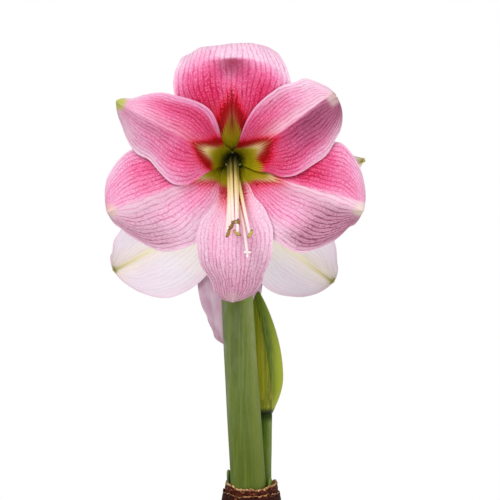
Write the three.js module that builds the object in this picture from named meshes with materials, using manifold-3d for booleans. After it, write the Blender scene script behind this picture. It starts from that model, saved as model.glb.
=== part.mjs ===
// A potted amaryllis with two open pink blooms, as a scene graph of closed solids.
// Units are millimetres, +Z is up, and the origin is the middle of the pot's underside.
// The front bloom faces -Y and the rear bloom faces +Y.
import * as THREE from "three";
import { mergeVertices } from "three/addons/utils/BufferGeometryUtils.js";
import Module from "manifold-3d";

const wasm = await Module();
wasm.setup();

const { clamp, degToRad, lerp, smoothstep } = THREE.MathUtils;
const vec = (x, y, z) => new THREE.Vector3(x, y, z);

// Driving dimensions
const SEAT_GAP = 0.3; // clearance between a piece and what carries it
const POT_SIDES = 32;
const BULB_SIDES = 24;

const POT = { height: 125, baseRadius: 50, shoulderRadius: 67, rimRadius: 75, rimHeight: 26, rimStep: 4 };
const POT_WALL = 6;
const POT_FLOOR = 8;
const DRAIN = { radius: 4, ring: 24, count: 3 };

const SOIL = { level: 113, mound: 3, rings: 5, coverage: 0.62 };

const BULB = { bottom: 64, widest: 110, radius: 46, plateRadius: 20, shoulder: 166, shoulderRadius: 26 };
const NECK = { x: 2.8, y: 2, radiusX: 21.8, radiusY: 25.5, wall: 2.2, rim: 187.8, depth: 15 };

const FLOWER_SCAPE = {
  foot: vec(2.3, -8, 152),
  top: vec(-12.4, -7, 398),
  bow: vec(0, 0, 0),
  footRadius: 14.3,
  topRadius: 12.5,
  flatness: 0.84,
};
const BUD_SCAPE = {
  foot: vec(9, 13.5, 152),
  top: vec(10.5, 21, 244),
  bow: vec(0, -0.5, 0),
  footRadius: 10.3,
  topRadius: 9.9,
  flatness: 0.84,
};
const BUD = { height: 103, radius: 18.8, flatness: 0.74, lean: vec(-2, 3, 0), widestAt: 0.3, taper: 0.84 };
const BUD_SEAM = { bottomX: 20.2, sweep: 16.4, overlap: 0.6 };

const PEDICEL = { rootRadius: 5, radius: 4.7 };
const OVARY = { length: 15, radius: 8.2, lobes: 3, lobing: 0.07 };

const TUBE_RADIUS = 6.5; // radius of the perianth tube where it leaves the ovary
const TUBE_LAYER = 0.85; // half the step between the inner and outer whorl in the tube
const TUBE_COVER = degToRad(52); // half angle that each claw covers round the tube
const WIDEST_COVER = degToRad(58);
// The funnel's wall leans out from the axis by `tube` degrees, by `flare` past the mouth, and curls back beyond
const FUNNEL = {
  tube: 14,
  flare: 76,
  flareAbove: 4,
  tubeEnd: 18,
  mouth: 66,
  curl: 14,
  curlFrom: 85,
  curlOver: 50,
};
const TEPAL = { thickness: 0.9, rows: 16, columns: 8, tipHalfWidth: 0.8 };
const LOBE = { at: 0.4, span: 0.13 }; // where one tepal's margin swells out, as shares of its reach
const INNER_WHORL = { layer: 2.8, arch: 3, ridge: 1.4 };
const OUTER_WHORL = { layer: -1.3, arch: 0, ridge: 2.4 };
const EDGE_CURL = 5; // how far the free part of a tepal's edge bends back

// One entry per tepal: azimuth of its midrib seen from the front of the bloom, counted from the right,
// its length from the ovary, its two half widths, where it is widest and how blunt its end is
const FRONT_BLOOM = {
  name: "front",
  base: vec(-12, -52, 458),
  pedicel: [vec(-12.4, -12.6, 398.3), vec(-12.4, -13.5, 420), vec(-12.1, -19, 443)],
  nod: 5,
  heading: 0,
  tepals: {
    top: {
      outer: true, azimuth: 90.5, length: 136,
      cw: 46, ccw: 48, widest: 0.7, blunt: 0.36, roll: 118, rollFrom: 82, wave: 1.2,
    },
    upper_left: {
      azimuth: 150.5, length: 124,
      cw: 26, ccw: 34, widest: 0.57, blunt: 0.9, wave: 1.8, lobe: 9,
    },
    upper_right: {
      azimuth: 34, length: 118,
      cw: 39.5, ccw: 31, widest: 0.62, blunt: 0.5, wave: 1.2,
    },
    lower_left: {
      outer: true, azimuth: 200, length: 124,
      cw: 40, ccw: 53, widest: 0.72, blunt: 0.66, wave: 1.5,
    },
    lower_right: {
      outer: true, azimuth: -18.6, length: 130,
      cw: 51, ccw: 43, widest: 0.74, blunt: 0.62, wave: 1.5,
    },
    bottom: {
      azimuth: 270, length: 129,
      cw: 28, ccw: 33, widest: 0.62, blunt: 0.5, wave: 1.4,
    },
  },
};
const REAR_BLOOM = {
  name: "rear",
  base: vec(-15, 50, 430),
  pedicel: [vec(-12.4, -1.4, 398.3), vec(-12.8, 4, 414), vec(-14.2, 16, 428)],
  nod: 14,
  heading: 180,
  tepals: {
    top: {
      outer: true, azimuth: 93, length: 126,
      cw: 43, ccw: 43, widest: 0.68, blunt: 0.6, wave: 1.6,
    },
    upper_left: {
      azimuth: 159.5, length: 150,
      cw: 28, ccw: 29, widest: 0.52, blunt: 1, wave: 1.6,
    },
    upper_right: {
      azimuth: 34, length: 121,
      cw: 35, ccw: 31, widest: 0.6, blunt: 0.8, wave: 1.6,
    },
    lower_left: {
      outer: true, azimuth: 216, length: 136,
      cw: 36, ccw: 42, widest: 0.7, blunt: 0.62, wave: 1.5,
    },
    lower_right: {
      outer: true, azimuth: -28, length: 142,
      cw: 51, ccw: 38, widest: 0.68, blunt: 0.6, wave: 1.5,
    },
    bottom: {
      azimuth: 270.5, length: 150,
      cw: 30, ccw: 31, widest: 0.52, blunt: 0.9, wave: 1.3,
    },
  },
};

// Where the six filaments and the style end, in mm out of the ovary, across and up
const STAMEN_TIPS = [
  [84, 3.9, -48],
  [78, 3.1, -41],
  [76, 0.5, -39],
  [82, -1.8, -46],
  [86, -4.6, -54],
  [84, 14.8, -52],
];
const STYLE_TIP = [93, 11.8, -64];
// How much of their drift sideways and their fall they have made at 22, 48 and 76 percent of their reach
const FILAMENT_PATH = { drift: [0.03, 0.25, 0.65], fall: [0.01, 0.2, 0.64] };
const STYLE_PATH = { drift: [0.03, 0.15, 0.6], fall: [0.04, 0.3, 0.72] };
const FILAMENT = { ring: 3.5, rootRadius: 1.3, tipRadius: 0.85 };
const ANTHER = { length: 6.5, radius: 1.4 };
const STYLE = { radius: 1.05, lobe: 4, lobeRadius: 0.9 };
const STAMEN_RING = { radius: 4.9, height: 2 };

const BRACT = { length: 46, halfAngle: 62, thickness: 0.8, droop: 9, azimuths: { front: -70, back: 118 } };
const LEAVES = {
  left: { foot: vec(-14.4, 1.5, 160), top: vec(-16.4, 1.5, 199), width: 11, thickness: 3.2, turn: 84 },
  right: { foot: vec(17.9, -5, 160), top: vec(18.4, -5, 193.5), width: 11, thickness: 3.2, turn: 80 },
};

// Materials
const finish = (color, roughness) => new THREE.MeshStandardMaterial({ color, roughness, metalness: 0 });
const MATERIALS = {
  clay: finish("#b4643f", 0.85),
  soil: finish("#3a2a1e", 1),
  tunic: finish("#5a3020", 0.7),
  scape: finish("#71834a", 0.5),
  budScape: finish("#4c6a22", 0.5),
  budGreen: finish("#6e8a1c", 0.45),
  budOlive: finish("#8a8a24", 0.45),
  leaf: finish("#41601e", 0.5),
  bract: finish("#c7a98a", 0.8),
  pedicel: finish("#7c9440", 0.5),
  tepal: finish("#e67fae", 0.5),
  tepalPale: finish("#e9b3cf", 0.5),
  stamens: finish("#f1e3b4", 0.5),
  pistil: finish("#f5f0e2", 0.5),
};

// Geometry helpers

/** A BufferGeometry from points and the index of its triangles. */
function geometryFrom(points, index) {
  const geometry = new THREE.BufferGeometry().setFromPoints(points);
  geometry.setIndex(index);
  return geometry;
}

/** A closed solid through rings of equal count, which run anticlockwise seen from the far end. */
function loft(rings) {
  const count = rings[0].length;
  const points = rings.flat();
  const index = [];
  const quad = (a, b, c, d) => index.push(a, b, c, a, c, d);
  for (let row = 0; row + 1 < rings.length; row++) {
    for (let i = 0; i < count; i++) {
      const next = (i + 1) % count;
      quad(row * count + i, row * count + next, (row + 1) * count + next, (row + 1) * count + i);
    }
  }
  const middle = (ring) => ring.reduce((sum, p) => sum.add(p), vec(0, 0, 0)).divideScalar(ring.length);
  const first = points.length;
  points.push(middle(rings[0]), middle(rings.at(-1)));
  const lastRow = (rings.length - 1) * count;
  for (let i = 0; i < count; i++) {
    const next = (i + 1) % count;
    index.push(first, next, i, first + 1, lastRow + i, lastRow + next);
  }
  return geometryFrom(points, index);
}

/** A thin closed blade: surface(s, t) is its middle, s runs 0 to 1 along it and t from -1 to 1 across it.
 *  The rows of its grid draw together towards s = 1, where its outline turns round. */
function blade(surface, rows, columns, thickness) {
  const step = 1e-3;
  const faces = [[], []];
  for (let i = 0; i <= rows; i++) {
    for (let j = 0; j <= columns; j++) {
      const s = 1 - (1 - i / rows) ** 1.6;
      const t = (2 * j) / columns - 1;
      const s0 = Math.max(0, s - step);
      const t0 = Math.max(-1, t - step);
      const along = surface(Math.min(1, s0 + 2 * step), t).sub(surface(s0, t));
      const across = surface(s, Math.min(1, t0 + 2 * step)).sub(surface(s, t0));
      const normal = along.cross(across).normalize().multiplyScalar(thickness / 2);
      faces[0].push(surface(s, t).add(normal));
      faces[1].push(surface(s, t).sub(normal));
    }
  }
  const width = columns + 1;
  const back = faces[0].length;
  const index = [];
  for (let i = 0; i < rows; i++) {
    for (let j = 0; j < columns; j++) {
      const a = i * width + j;
      const [b, c, d] = [a + 1, a + width + 1, a + width];
      index.push(a, c, b, a, d, c, back + a, back + b, back + c, back + a, back + c, back + d);
    }
  }
  const rim = [];
  for (let j = 0; j < columns; j++) rim.push(j);
  for (let i = 0; i < rows; i++) rim.push(i * width + columns);
  for (let j = columns; j > 0; j--) rim.push(rows * width + j);
  for (let i = rows; i > 0; i--) rim.push(i * width);
  rim.forEach((a, k) => {
    const b = rim[(k + 1) % rim.length];
    index.push(a, b, back + b, a, back + b, back + a);
  });
  return geometryFrom(faces.flat(), index);
}

/** A solid along a curve, with an elliptical section of half width radius(u) and half depth radius(u) * flatness,
 *  and with `lobes` lobes that stand out by the share lobing(u). */
function sweep(curve, radius, { steps, sides, flatness = 1, lobes = 0, lobing = () => 0 }) {
  const rings = [];
  for (let k = 0; k <= steps; k++) {
    const u = k / steps;
    const centre = curve.getPointAt(u);
    const tangent = curve.getTangentAt(u);
    const wide = vec(1, 0, 0).addScaledVector(tangent, -tangent.x).normalize();
    const deep = tangent.clone().cross(wide);
    const ring = [];
    for (let i = 0; i < sides; i++) {
      const angle = (2 * Math.PI * i) / sides;
      const r = radius(u) * (1 + lobing(u) * Math.cos(lobes * angle));
      const offset = wide.clone().multiplyScalar(r * Math.cos(angle));
      ring.push(centre.clone().add(offset).addScaledVector(deep, r * flatness * Math.sin(angle)));
    }
    rings.push(ring);
  }
  return loft(rings);
}

/** The manifold of a closed geometry. */
function solid(geometry) {
  const plain = geometry.clone();
  plain.deleteAttribute("normal");
  plain.deleteAttribute("uv");
  const merged = mergeVertices(plain, 1e-4);
  const triVerts = new Uint32Array(merged.index.array);
  return new wasm.Manifold(
    new wasm.Mesh({ numProp: 3, vertProperties: merged.attributes.position.array, triVerts }),
  );
}

/** The geometry of a manifold. */
function geometryOf(manifold) {
  const mesh = manifold.getMesh();
  const geometry = new THREE.BufferGeometry();
  geometry.setAttribute("position", new THREE.BufferAttribute(mesh.vertProperties, 3));
  geometry.setIndex(new THREE.BufferAttribute(mesh.triVerts, 1));
  return geometry;
}

const plant = new THREE.Group();
plant.name = "potted_amaryllis";

function add(name, geometry, material, parent = plant) {
  const mesh = new THREE.Mesh(geometry, material);
  mesh.name = name;
  parent.add(mesh);
}

/** A ring of points round a vertical axis: at(angle) gives each point's { x, y, z }. */
function ringOf(sides, at) {
  return Array.from({ length: sides }, (_, i) => {
    const { x, y, z } = at((2 * Math.PI * i) / sides);
    return vec(x, y, z);
  });
}

/** The larger of two values, and the smaller, with their crossing rounded over a width of `softness`. */
const softMax = (a, b, softness) => (a + b + Math.hypot(a - b, softness)) / 2;
const softMin = (a, b, softness) => (a + b - Math.hypot(a - b, softness)) / 2;

// Pot: a plain clay pot with a collar and three drain holes

const potInnerRadius = (z) => {
  const share = (z - POT_FLOOR) / (POT.height - POT_FLOOR);
  return lerp(POT.baseRadius, POT.rimRadius, share) - POT_WALL;
};

function potGeometry() {
  const collar = POT.height - POT.rimHeight;
  const edge = 2;
  const profile = [
    [0, 0],
    [POT.baseRadius - edge, 0],
    [POT.baseRadius, edge],
    [POT.shoulderRadius, collar],
    [POT.shoulderRadius + POT.rimStep, collar + edge],
    [POT.rimRadius, POT.height - edge],
    [POT.rimRadius - edge, POT.height],
    [potInnerRadius(POT.height), POT.height],
    [potInnerRadius(POT_FLOOR), POT_FLOOR],
    [0, POT_FLOOR],
  ].map(([r, z]) => new THREE.Vector2(r, z));
  let pot = solid(new THREE.LatheGeometry(profile, POT_SIDES).rotateX(Math.PI / 2));
  for (let i = 0; i < DRAIN.count; i++) {
    const angle = (2 * Math.PI * i) / DRAIN.count + Math.PI / 2;
    const drill = new THREE.CylinderGeometry(DRAIN.radius, DRAIN.radius, 3 * POT_FLOOR, 12);
    drill.rotateX(Math.PI / 2);
    drill.translate(DRAIN.ring * Math.cos(angle), DRAIN.ring * Math.sin(angle), POT_FLOOR / 2);
    pot = pot.subtract(solid(drill));
  }
  return geometryOf(pot);
}

// Bulb: a round body that narrows to an oval neck with a torn papery rim

const neckRim = (angle) => NECK.rim + 1.5 * Math.cos(2 * angle) + 1.2 * Math.sin(7 * angle + 0.6);

/** Rings of the bulb from its plate up to just under the torn rim, grown outwards by `grow`. */
function bulbRings(grow) {
  const stations = [
    [BULB.bottom - grow, BULB.plateRadius],
    [BULB.bottom + 8, 33],
    [BULB.bottom + 24, 43],
    [BULB.widest, BULB.radius],
    [BULB.widest + 18, 43.5],
    [BULB.widest + 32, 37],
    [BULB.widest + 45, 30],
    [BULB.shoulder, BULB.shoulderRadius],
    [NECK.rim - 8, NECK.radiusX + 1],
  ];
  return stations.map(([z, r]) => {
    const share = smoothstep(z, BULB.widest, BULB.shoulder);
    const wide = r + grow;
    const deep = wide + share * (NECK.radiusY - NECK.radiusX);
    return ringOf(BULB_SIDES, (angle) => ({
      x: NECK.x * share + wide * Math.cos(angle),
      y: NECK.y * share + deep * Math.sin(angle),
      z,
    }));
  });
}

function bulbGeometry() {
  const neckRing = (inset, height) =>
    ringOf(BULB_SIDES, (angle) => ({
      x: NECK.x + (NECK.radiusX - inset) * Math.cos(angle),
      y: NECK.y + (NECK.radiusY - inset) * Math.sin(angle),
      z: height(angle),
    }));
  const floor = () => NECK.rim - NECK.depth;
  const rings = [...bulbRings(0), neckRing(0, neckRim), neckRing(NECK.wall / 2, neckRim)];
  rings.push(neckRing(NECK.wall, floor));
  const sockets = [
    stalkGeometry(FLOWER_SCAPE, SEAT_GAP),
    stalkGeometry(BUD_SCAPE, SEAT_GAP),
    ...Object.values(LEAVES).map((leaf) => leafGeometry(leaf, SEAT_GAP)),
  ];
  return geometryOf(sockets.reduce((bulb, socket) => bulb.subtract(solid(socket)), solid(loft(rings))));
}

// Soil: it fills the pot to a slightly mounded, crumbly top, with a plain hole where the bulb stands

function soilGeometry() {
  const bottom = POT_FLOOR + SEAT_GAP;
  const edge = potInnerRadius(SOIL.level) - SEAT_GAP;
  const ring = (radius, height) =>
    ringOf(BULB_SIDES, (angle) => ({
      x: radius * Math.cos(angle),
      y: radius * Math.sin(angle),
      z: height(angle),
    }));
  const rings = [ring(potInnerRadius(bottom) - SEAT_GAP, () => bottom), ring(edge, () => SOIL.level)];
  for (let k = 1; k < SOIL.rings; k++) {
    const share = k / SOIL.rings;
    const level = SOIL.level + SOIL.mound * share;
    const crumbs = (angle) => Math.sin(5 * angle + 2.3 * k) + 0.7 * Math.sin(11 * angle + 4.1 * k);
    rings.push(ring(edge * (1 - SOIL.coverage * share), (angle) => level + crumbs(angle)));
  }
  return geometryOf(solid(loft(rings)).subtract(solid(loft(bulbRings(SEAT_GAP)))));
}

// Stalks: the flower scape and the bud scape, hollow reeds in life and solid here, cut level at the top

const stalkCurve = ({ foot, top, bow }) =>
  new THREE.CatmullRomCurve3([foot, foot.clone().lerp(top, 0.5).add(bow), top]);

function stalkGeometry(stalk, grow) {
  const radius = (u) => lerp(stalk.footRadius, stalk.topRadius, u) + grow;
  const foot = stalk.foot.clone();
  foot.z -= grow;
  return sweep(stalkCurve({ ...stalk, foot }), radius, { steps: 8, sides: 20, flatness: stalk.flatness });
}

function cutStalkGeometry(stalk) {
  return geometryOf(solid(stalkGeometry(stalk, 0)).trimByPlane([0, 0, -1], -stalk.top.z));
}

// Leaf tips: two young leaves that have just cleared the neck

function leafGeometry({ foot, top, width, thickness, turn }, grow) {
  const wide = vec(Math.cos(degToRad(turn)), Math.sin(degToRad(turn)), 0);
  const deep = vec(-wide.y, wide.x, 0);
  const roundedEnd = 9 / (top.z - foot.z);
  const stations = [0, ...[0, 0.45, 0.8, 1].map((rise) => 1 - roundedEnd * (1 - rise))];
  return loft(
    stations.map((u) => {
      const rise = clamp((u - 1 + roundedEnd) / roundedEnd, 0, 1);
      const narrow = Math.sqrt(1 - 0.9 * rise * rise);
      const centre = foot.clone().lerp(top, u);
      centre.z += u === 0 ? -grow : grow;
      return ringOf(10, (angle) => {
        const across = ((width / 2) * narrow + grow) * Math.cos(angle);
        const through = ((thickness / 2) * narrow + grow) * Math.sin(angle);
        return centre.clone().addScaledVector(wide, across).addScaledVector(deep, through);
      });
    }),
  );
}

// Bud: two spathe valves closed over the young flowers, parted along a slanting, bowed seam

function budGeometry(grow) {
  const steps = 12;
  const foot = BUD_SCAPE.topRadius / BUD.radius;
  const swell = (u) => {
    const below = clamp(u / BUD.widestAt, 0, 1);
    const above = clamp((u - BUD.widestAt) / (1 - BUD.widestAt), 0, 1);
    return lerp(foot, 1, Math.sin((Math.PI / 2) * below)) * Math.cos((Math.PI / 2) * above) ** BUD.taper;
  };
  const rings = [];
  for (let k = 0; k <= steps; k++) {
    const u = 1 - (1 - k / steps) ** 1.4;
    const centre = BUD_SCAPE.top.clone().addScaledVector(BUD.lean, u * u);
    const radius = BUD.radius * Math.max(swell(u), 0.04) + grow;
    rings.push(
      ringOf(20, (angle) => ({
        x: centre.x + radius * Math.cos(angle),
        y: centre.y + radius * BUD.flatness * Math.sin(angle),
        z: centre.z + SEAT_GAP + BUD.height * u,
      })),
    );
  }
  return loft(rings);
}

/** A block that holds everything to the left of the seam, moved right by `shift`. */
function leftOfSeam(shift) {
  const outline = new THREE.Shape();
  const far = -60;
  const steps = 10;
  outline.moveTo(far, -5);
  for (let k = 0; k <= steps; k++) {
    const h = lerp(-0.05, 1.1, k / steps);
    outline.lineTo(BUD_SEAM.bottomX - BUD_SEAM.sweep * h * Math.abs(h) + shift, BUD.height * h);
  }
  outline.lineTo(far, 1.1 * BUD.height);
  const block = new THREE.ExtrudeGeometry(outline, { depth: 90, bevelEnabled: false }).rotateX(Math.PI / 2);
  return solid(block.translate(0, 60, BUD_SCAPE.top.z));
}

function budValves() {
  const left = solid(budGeometry(0)).intersect(leftOfSeam(-SEAT_GAP / 2));
  const right = solid(budGeometry(BUD_SEAM.overlap)).subtract(leftOfSeam(SEAT_GAP / 2));
  return { left: geometryOf(left), right: geometryOf(right) };
}

// Spathe bracts: the withered valves that once closed the open umbel hang down the top of its scape

function bractGeometry(azimuth) {
  const curve = stalkCurve(FLOWER_SCAPE);
  const { foot, top, topRadius, flatness } = FLOWER_SCAPE;
  const below = 1.5;
  const surface = (s, t) => {
    const spread = degToRad(BRACT.halfAngle) * (1 - s) ** 0.7;
    const angle = degToRad(azimuth) + t * Math.max(spread, 0.05);
    const z = top.z - below - BRACT.length * s;
    const centre = curve.getPointAt((z - foot.z) / (top.z - foot.z));
    const clearance = 1.2 + BRACT.droop * s * s + 1.3 * s * Math.cos(3 * t);
    return vec(
      centre.x + (topRadius + clearance) * Math.cos(angle),
      centre.y + (topRadius * flatness + clearance) * Math.sin(angle),
      z,
    );
  };
  return blade(surface, 7, 4, BRACT.thickness);
}

// Blooms: each stands on a pedicel, and its six tepals share one funnel, the inner whorl inside the outer

/** Axes of a bloom: out of its mouth, and to the right and up as seen from in front of it. */
function bloomAxes({ nod, heading }) {
  const tilt = degToRad(nod);
  const turn = new THREE.Matrix4().makeRotationZ(degToRad(heading));
  return {
    out: vec(0, -Math.cos(tilt), -Math.sin(tilt)).applyMatrix4(turn),
    right: vec(1, 0, 0).applyMatrix4(turn),
    up: vec(0, -Math.sin(tilt), Math.cos(tilt)).applyMatrix4(turn),
  };
}

/** A point given in mm out of the bloom's ovary, across it and up. */
function inBloom(bloom, axes, out, across, up) {
  return bloom.base
    .clone()
    .addScaledVector(axes.out, out + SEAT_GAP)
    .addScaledVector(axes.right, across)
    .addScaledVector(axes.up, up);
}

/** How far a point has come into the part of a tepal that rolls back. */
const rolledShare = (along, { rollFrom = Infinity, length }) =>
  along > rollFrom ? Math.min(1, (along - rollFrom) / (length - rollFrom)) : 0;

/** Angle between the funnel's wall and the bloom's axis, `along` mm up the wall on one azimuth. */
function wallAngle(along, azimuth, tepal) {
  const roll = (tepal.roll ?? 0) * rolledShare(along, tepal) ** 1.3;
  const flare = FUNNEL.flare + FUNNEL.flareAbove * Math.sin(azimuth);
  const opening = clamp((along - FUNNEL.tubeEnd) / (FUNNEL.mouth - FUNNEL.tubeEnd), 0, 1) ** 0.85;
  const curl = FUNNEL.curl * clamp((along - FUNNEL.curlFrom) / FUNNEL.curlOver, 0, 2) ** 1.5;
  return degToRad(lerp(FUNNEL.tube, flare, opening) + curl + roll);
}

/** Distance from the axis and along it of a point `along` mm up the wall, by summing the wall angle. */
function wallPoint(along, azimuth, tepal) {
  const steps = 40;
  let radius = TUBE_RADIUS;
  let height = 0;
  for (let k = 0; k < steps; k++) {
    const angle = wallAngle((along * (k + 0.5)) / steps, azimuth, tepal);
    radius += (along * Math.sin(angle)) / steps;
    height += (along * Math.cos(angle)) / steps;
  }
  return { radius, height, angle: wallAngle(along, azimuth, tepal) };
}

/** Half width of a tepal that has come `reach` of its way out: a rising claw, then a rounded end. */
function halfWidth(tepal, side, reach) {
  const rise = Math.sin((Math.PI / 2) * clamp(reach / tepal.widest, 0, 1) ** 1.1);
  const end = clamp((reach - tepal.widest) / (1 - tepal.widest), 0, 1);
  const full = side > 0 ? tepal.ccw : tepal.cw;
  const lobe = side > 0 && tepal.lobe ? tepal.lobe * Math.exp(-(((reach - LOBE.at) / LOBE.span) ** 2)) : 0;
  return Math.max(TEPAL.tipHalfWidth, full * rise * (1 - end * end) ** tepal.blunt + lobe);
}

/** Height of a tepal's surface off the funnel's wall, towards the mouth. */
function relief(tepal, s, t, along) {
  const whorl = tepal.outer ? OUTER_WHORL : INNER_WHORL;
  const inTube = tepal.outer ? -TUBE_LAYER : TUBE_LAYER;
  const layer = lerp(inTube, whorl.layer, smoothstep(along, 10, 60));
  const open = smoothstep(s, 0.25, 0.55);
  const free = smoothstep(s, 0.6, 1);
  const flat = 1 - rolledShare(along, tepal);
  const midrib = whorl.ridge * open * flat * Math.exp(-((t / 0.22) ** 2));
  const arch = whorl.arch * open * (1 - t * t);
  const backCurl = EDGE_CURL * free * flat * t * t;
  const ripple = Math.sin(2 * Math.PI * (2.4 * s + tepal.azimuth / 30) + t);
  return layer + midrib + arch - backCurl + tepal.wave * free * Math.abs(t) ** 3 * ripple;
}

function tepalGeometry(bloom, tepal, axes) {
  const midrib = degToRad(tepal.azimuth);
  const unrolled = { length: tepal.length };
  const fullReach = wallPoint(tepal.length, midrib, unrolled).radius;
  const surface = (s, t) => {
    const along = s * tepal.length;
    const reached = wallPoint(along, midrib, unrolled).radius;
    const cover = TUBE_COVER * (1 - smoothstep(along, 15, 55));
    const spread = softMax(halfWidth(tepal, t, reached / fullReach) / reached, cover, 0.15 * cover);
    const azimuth = midrib + t * softMin(WIDEST_COVER, spread, 0.05);
    const wall = wallPoint(along, azimuth, tepal);
    const off = relief(tepal, s, t, along);
    const radius = wall.radius - off * Math.cos(wall.angle);
    const out = wall.height + off * Math.sin(wall.angle);
    return inBloom(bloom, axes, out, radius * Math.cos(azimuth), radius * Math.sin(azimuth));
  };
  return blade(surface, TEPAL.rows, TEPAL.columns, TEPAL.thickness);
}

/** A pedicel rises from the scape's top, bends over, and swells into the three-lobed ovary. */
function pedicelGeometry(bloom, axes) {
  const ovaryFoot = bloom.base.clone().addScaledVector(axes.out, -OVARY.length);
  const curve = new THREE.CatmullRomCurve3([...bloom.pedicel, ovaryFoot, bloom.base]);
  const ovaryShare = OVARY.length / curve.getLength();
  const swell = (u) => Math.sin(Math.PI * clamp((u - 1 + ovaryShare) / ovaryShare, 0, 0.86));
  const radius = (u) => lerp(lerp(PEDICEL.rootRadius, PEDICEL.radius, u), OVARY.radius, swell(u));
  const lobing = (u) => OVARY.lobing * swell(u);
  const made = sweep(curve, radius, { steps: 15, sides: 12, lobes: OVARY.lobes, lobing });
  return geometryOf(solid(made).trimByPlane([0, 0, 1], FLOWER_SCAPE.top.z + SEAT_GAP));
}

/** A filament or the style: straight up the tube, down through the mouth, and level again at its tip. */
function throatCurve(bloom, axes, rootX, rootY, [reach, across, up], { drift, fall }) {
  const at = (share, x, y) => inBloom(bloom, axes, reach * share, lerp(rootX, across, x), lerp(rootY, up, y));
  const knees = [0.22, 0.48, 0.76].map((share, k) => at(share, drift[k], fall[k]));
  return new THREE.CatmullRomCurve3([at(0, 0, 0), ...knees, at(1, 1, 1)]);
}

/** All six stamens of a bloom, rooted in one low ring, each with its anther across its tip. */
function stamensGeometry(bloom, axes) {
  const ring = (out, radius) =>
    new THREE.CylinderGeometry(radius, radius, out, 16).applyQuaternion(
      new THREE.Quaternion().setFromUnitVectors(vec(0, 1, 0), axes.out),
    );
  const seat = inBloom(bloom, axes, STAMEN_RING.height / 2, 0, 0);
  const outer = solid(ring(STAMEN_RING.height, STAMEN_RING.radius).translate(...seat.toArray()));
  const hole = solid(ring(3 * STAMEN_RING.height, STYLE.radius + SEAT_GAP).translate(...seat.toArray()));
  let all = outer.subtract(hole);
  STAMEN_TIPS.forEach((tip, i) => {
    const angle = (2 * Math.PI * i) / STAMEN_TIPS.length;
    const root = [FILAMENT.ring * Math.cos(angle), FILAMENT.ring * Math.sin(angle)];
    const curve = throatCurve(bloom, axes, ...root, tip, FILAMENT_PATH);
    const radius = (u) => lerp(FILAMENT.rootRadius, FILAMENT.tipRadius, u);
    all = all.add(solid(sweep(curve, radius, { steps: 8, sides: 5 })));
    const lie = vec(Math.cos(1.3 * i + 0.83), 0.25, Math.sin(1.3 * i + 0.83)).normalize();
    const anther = new THREE.SphereGeometry(ANTHER.radius, 5, 4);
    anther.scale(1, ANTHER.length / (2 * ANTHER.radius), 1);
    anther.applyQuaternion(new THREE.Quaternion().setFromUnitVectors(vec(0, 1, 0), lie));
    all = all.add(solid(anther.translate(...curve.getPointAt(1).toArray())));
  });
  return geometryOf(all);
}

/** The pistil: a long style from the middle of the ovary, ending in a stigma of three short lobes. */
function pistilGeometry(bloom, axes) {
  const curve = throatCurve(bloom, axes, 0, 0, STYLE_TIP, STYLE_PATH);
  let all = solid(sweep(curve, () => STYLE.radius, { steps: 10, sides: 6 }));
  for (let i = 0; i < 3; i++) {
    const angle = (2 * Math.PI * i) / 3 + 0.5;
    const from = curve.getPointAt(0.99);
    const to = inBloom(bloom, axes, 1.5, STYLE.lobe * Math.cos(angle), STYLE.lobe * Math.sin(angle));
    to.sub(inBloom(bloom, axes, 0, 0, 0)).add(from);
    const lobe = sweep(new THREE.LineCurve3(from, to), () => STYLE.lobeRadius, { steps: 1, sides: 6 });
    all = all.add(solid(lobe));
  }
  return geometryOf(all);
}

function addBloom(bloom) {
  const axes = bloomAxes(bloom);
  const group = new THREE.Group();
  group.name = `bloom_${bloom.name}`;
  plant.add(group);
  add(`pedicel_${bloom.name}`, pedicelGeometry(bloom, axes), MATERIALS.pedicel, group);
  for (const [place, tepal] of Object.entries(bloom.tepals)) {
    const material = place === "bottom" ? MATERIALS.tepalPale : MATERIALS.tepal;
    add(`tepal_${bloom.name}_${place}`, tepalGeometry(bloom, tepal, axes), material, group);
  }
  add(`stamens_${bloom.name}`, stamensGeometry(bloom, axes), MATERIALS.stamens, group);
  add(`pistil_${bloom.name}`, pistilGeometry(bloom, axes), MATERIALS.pistil, group);
}

// Assembly

const valves = budValves();
add("pot", potGeometry(), MATERIALS.clay);
add("soil", soilGeometry(), MATERIALS.soil);
add("bulb", bulbGeometry(), MATERIALS.tunic);
add("flower_scape", cutStalkGeometry(FLOWER_SCAPE), MATERIALS.scape);
add("bud_scape", cutStalkGeometry(BUD_SCAPE), MATERIALS.budScape);
add("bud_valve_left", valves.left, MATERIALS.budOlive);
add("bud_valve_right", valves.right, MATERIALS.budGreen);
for (const [side, leaf] of Object.entries(LEAVES)) {
  add(`leaf_tip_${side}`, leafGeometry(leaf, 0), MATERIALS.leaf);
}
for (const [side, azimuth] of Object.entries(BRACT.azimuths)) {
  add(`spathe_bract_${side}`, bractGeometry(azimuth), MATERIALS.bract);
}
addBloom(FRONT_BLOOM);
addBloom(REAR_BLOOM);

export default plant;
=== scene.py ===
"""A potted amaryllis in flower: clay pot, compost, bulb in its papery tunics, two reeds of flower stalk,
a closed bud and two six-petalled blooms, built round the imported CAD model. Points are worked out in
millimetres, as in the CAD source, and become metres as they go into a mesh."""
import math

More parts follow.
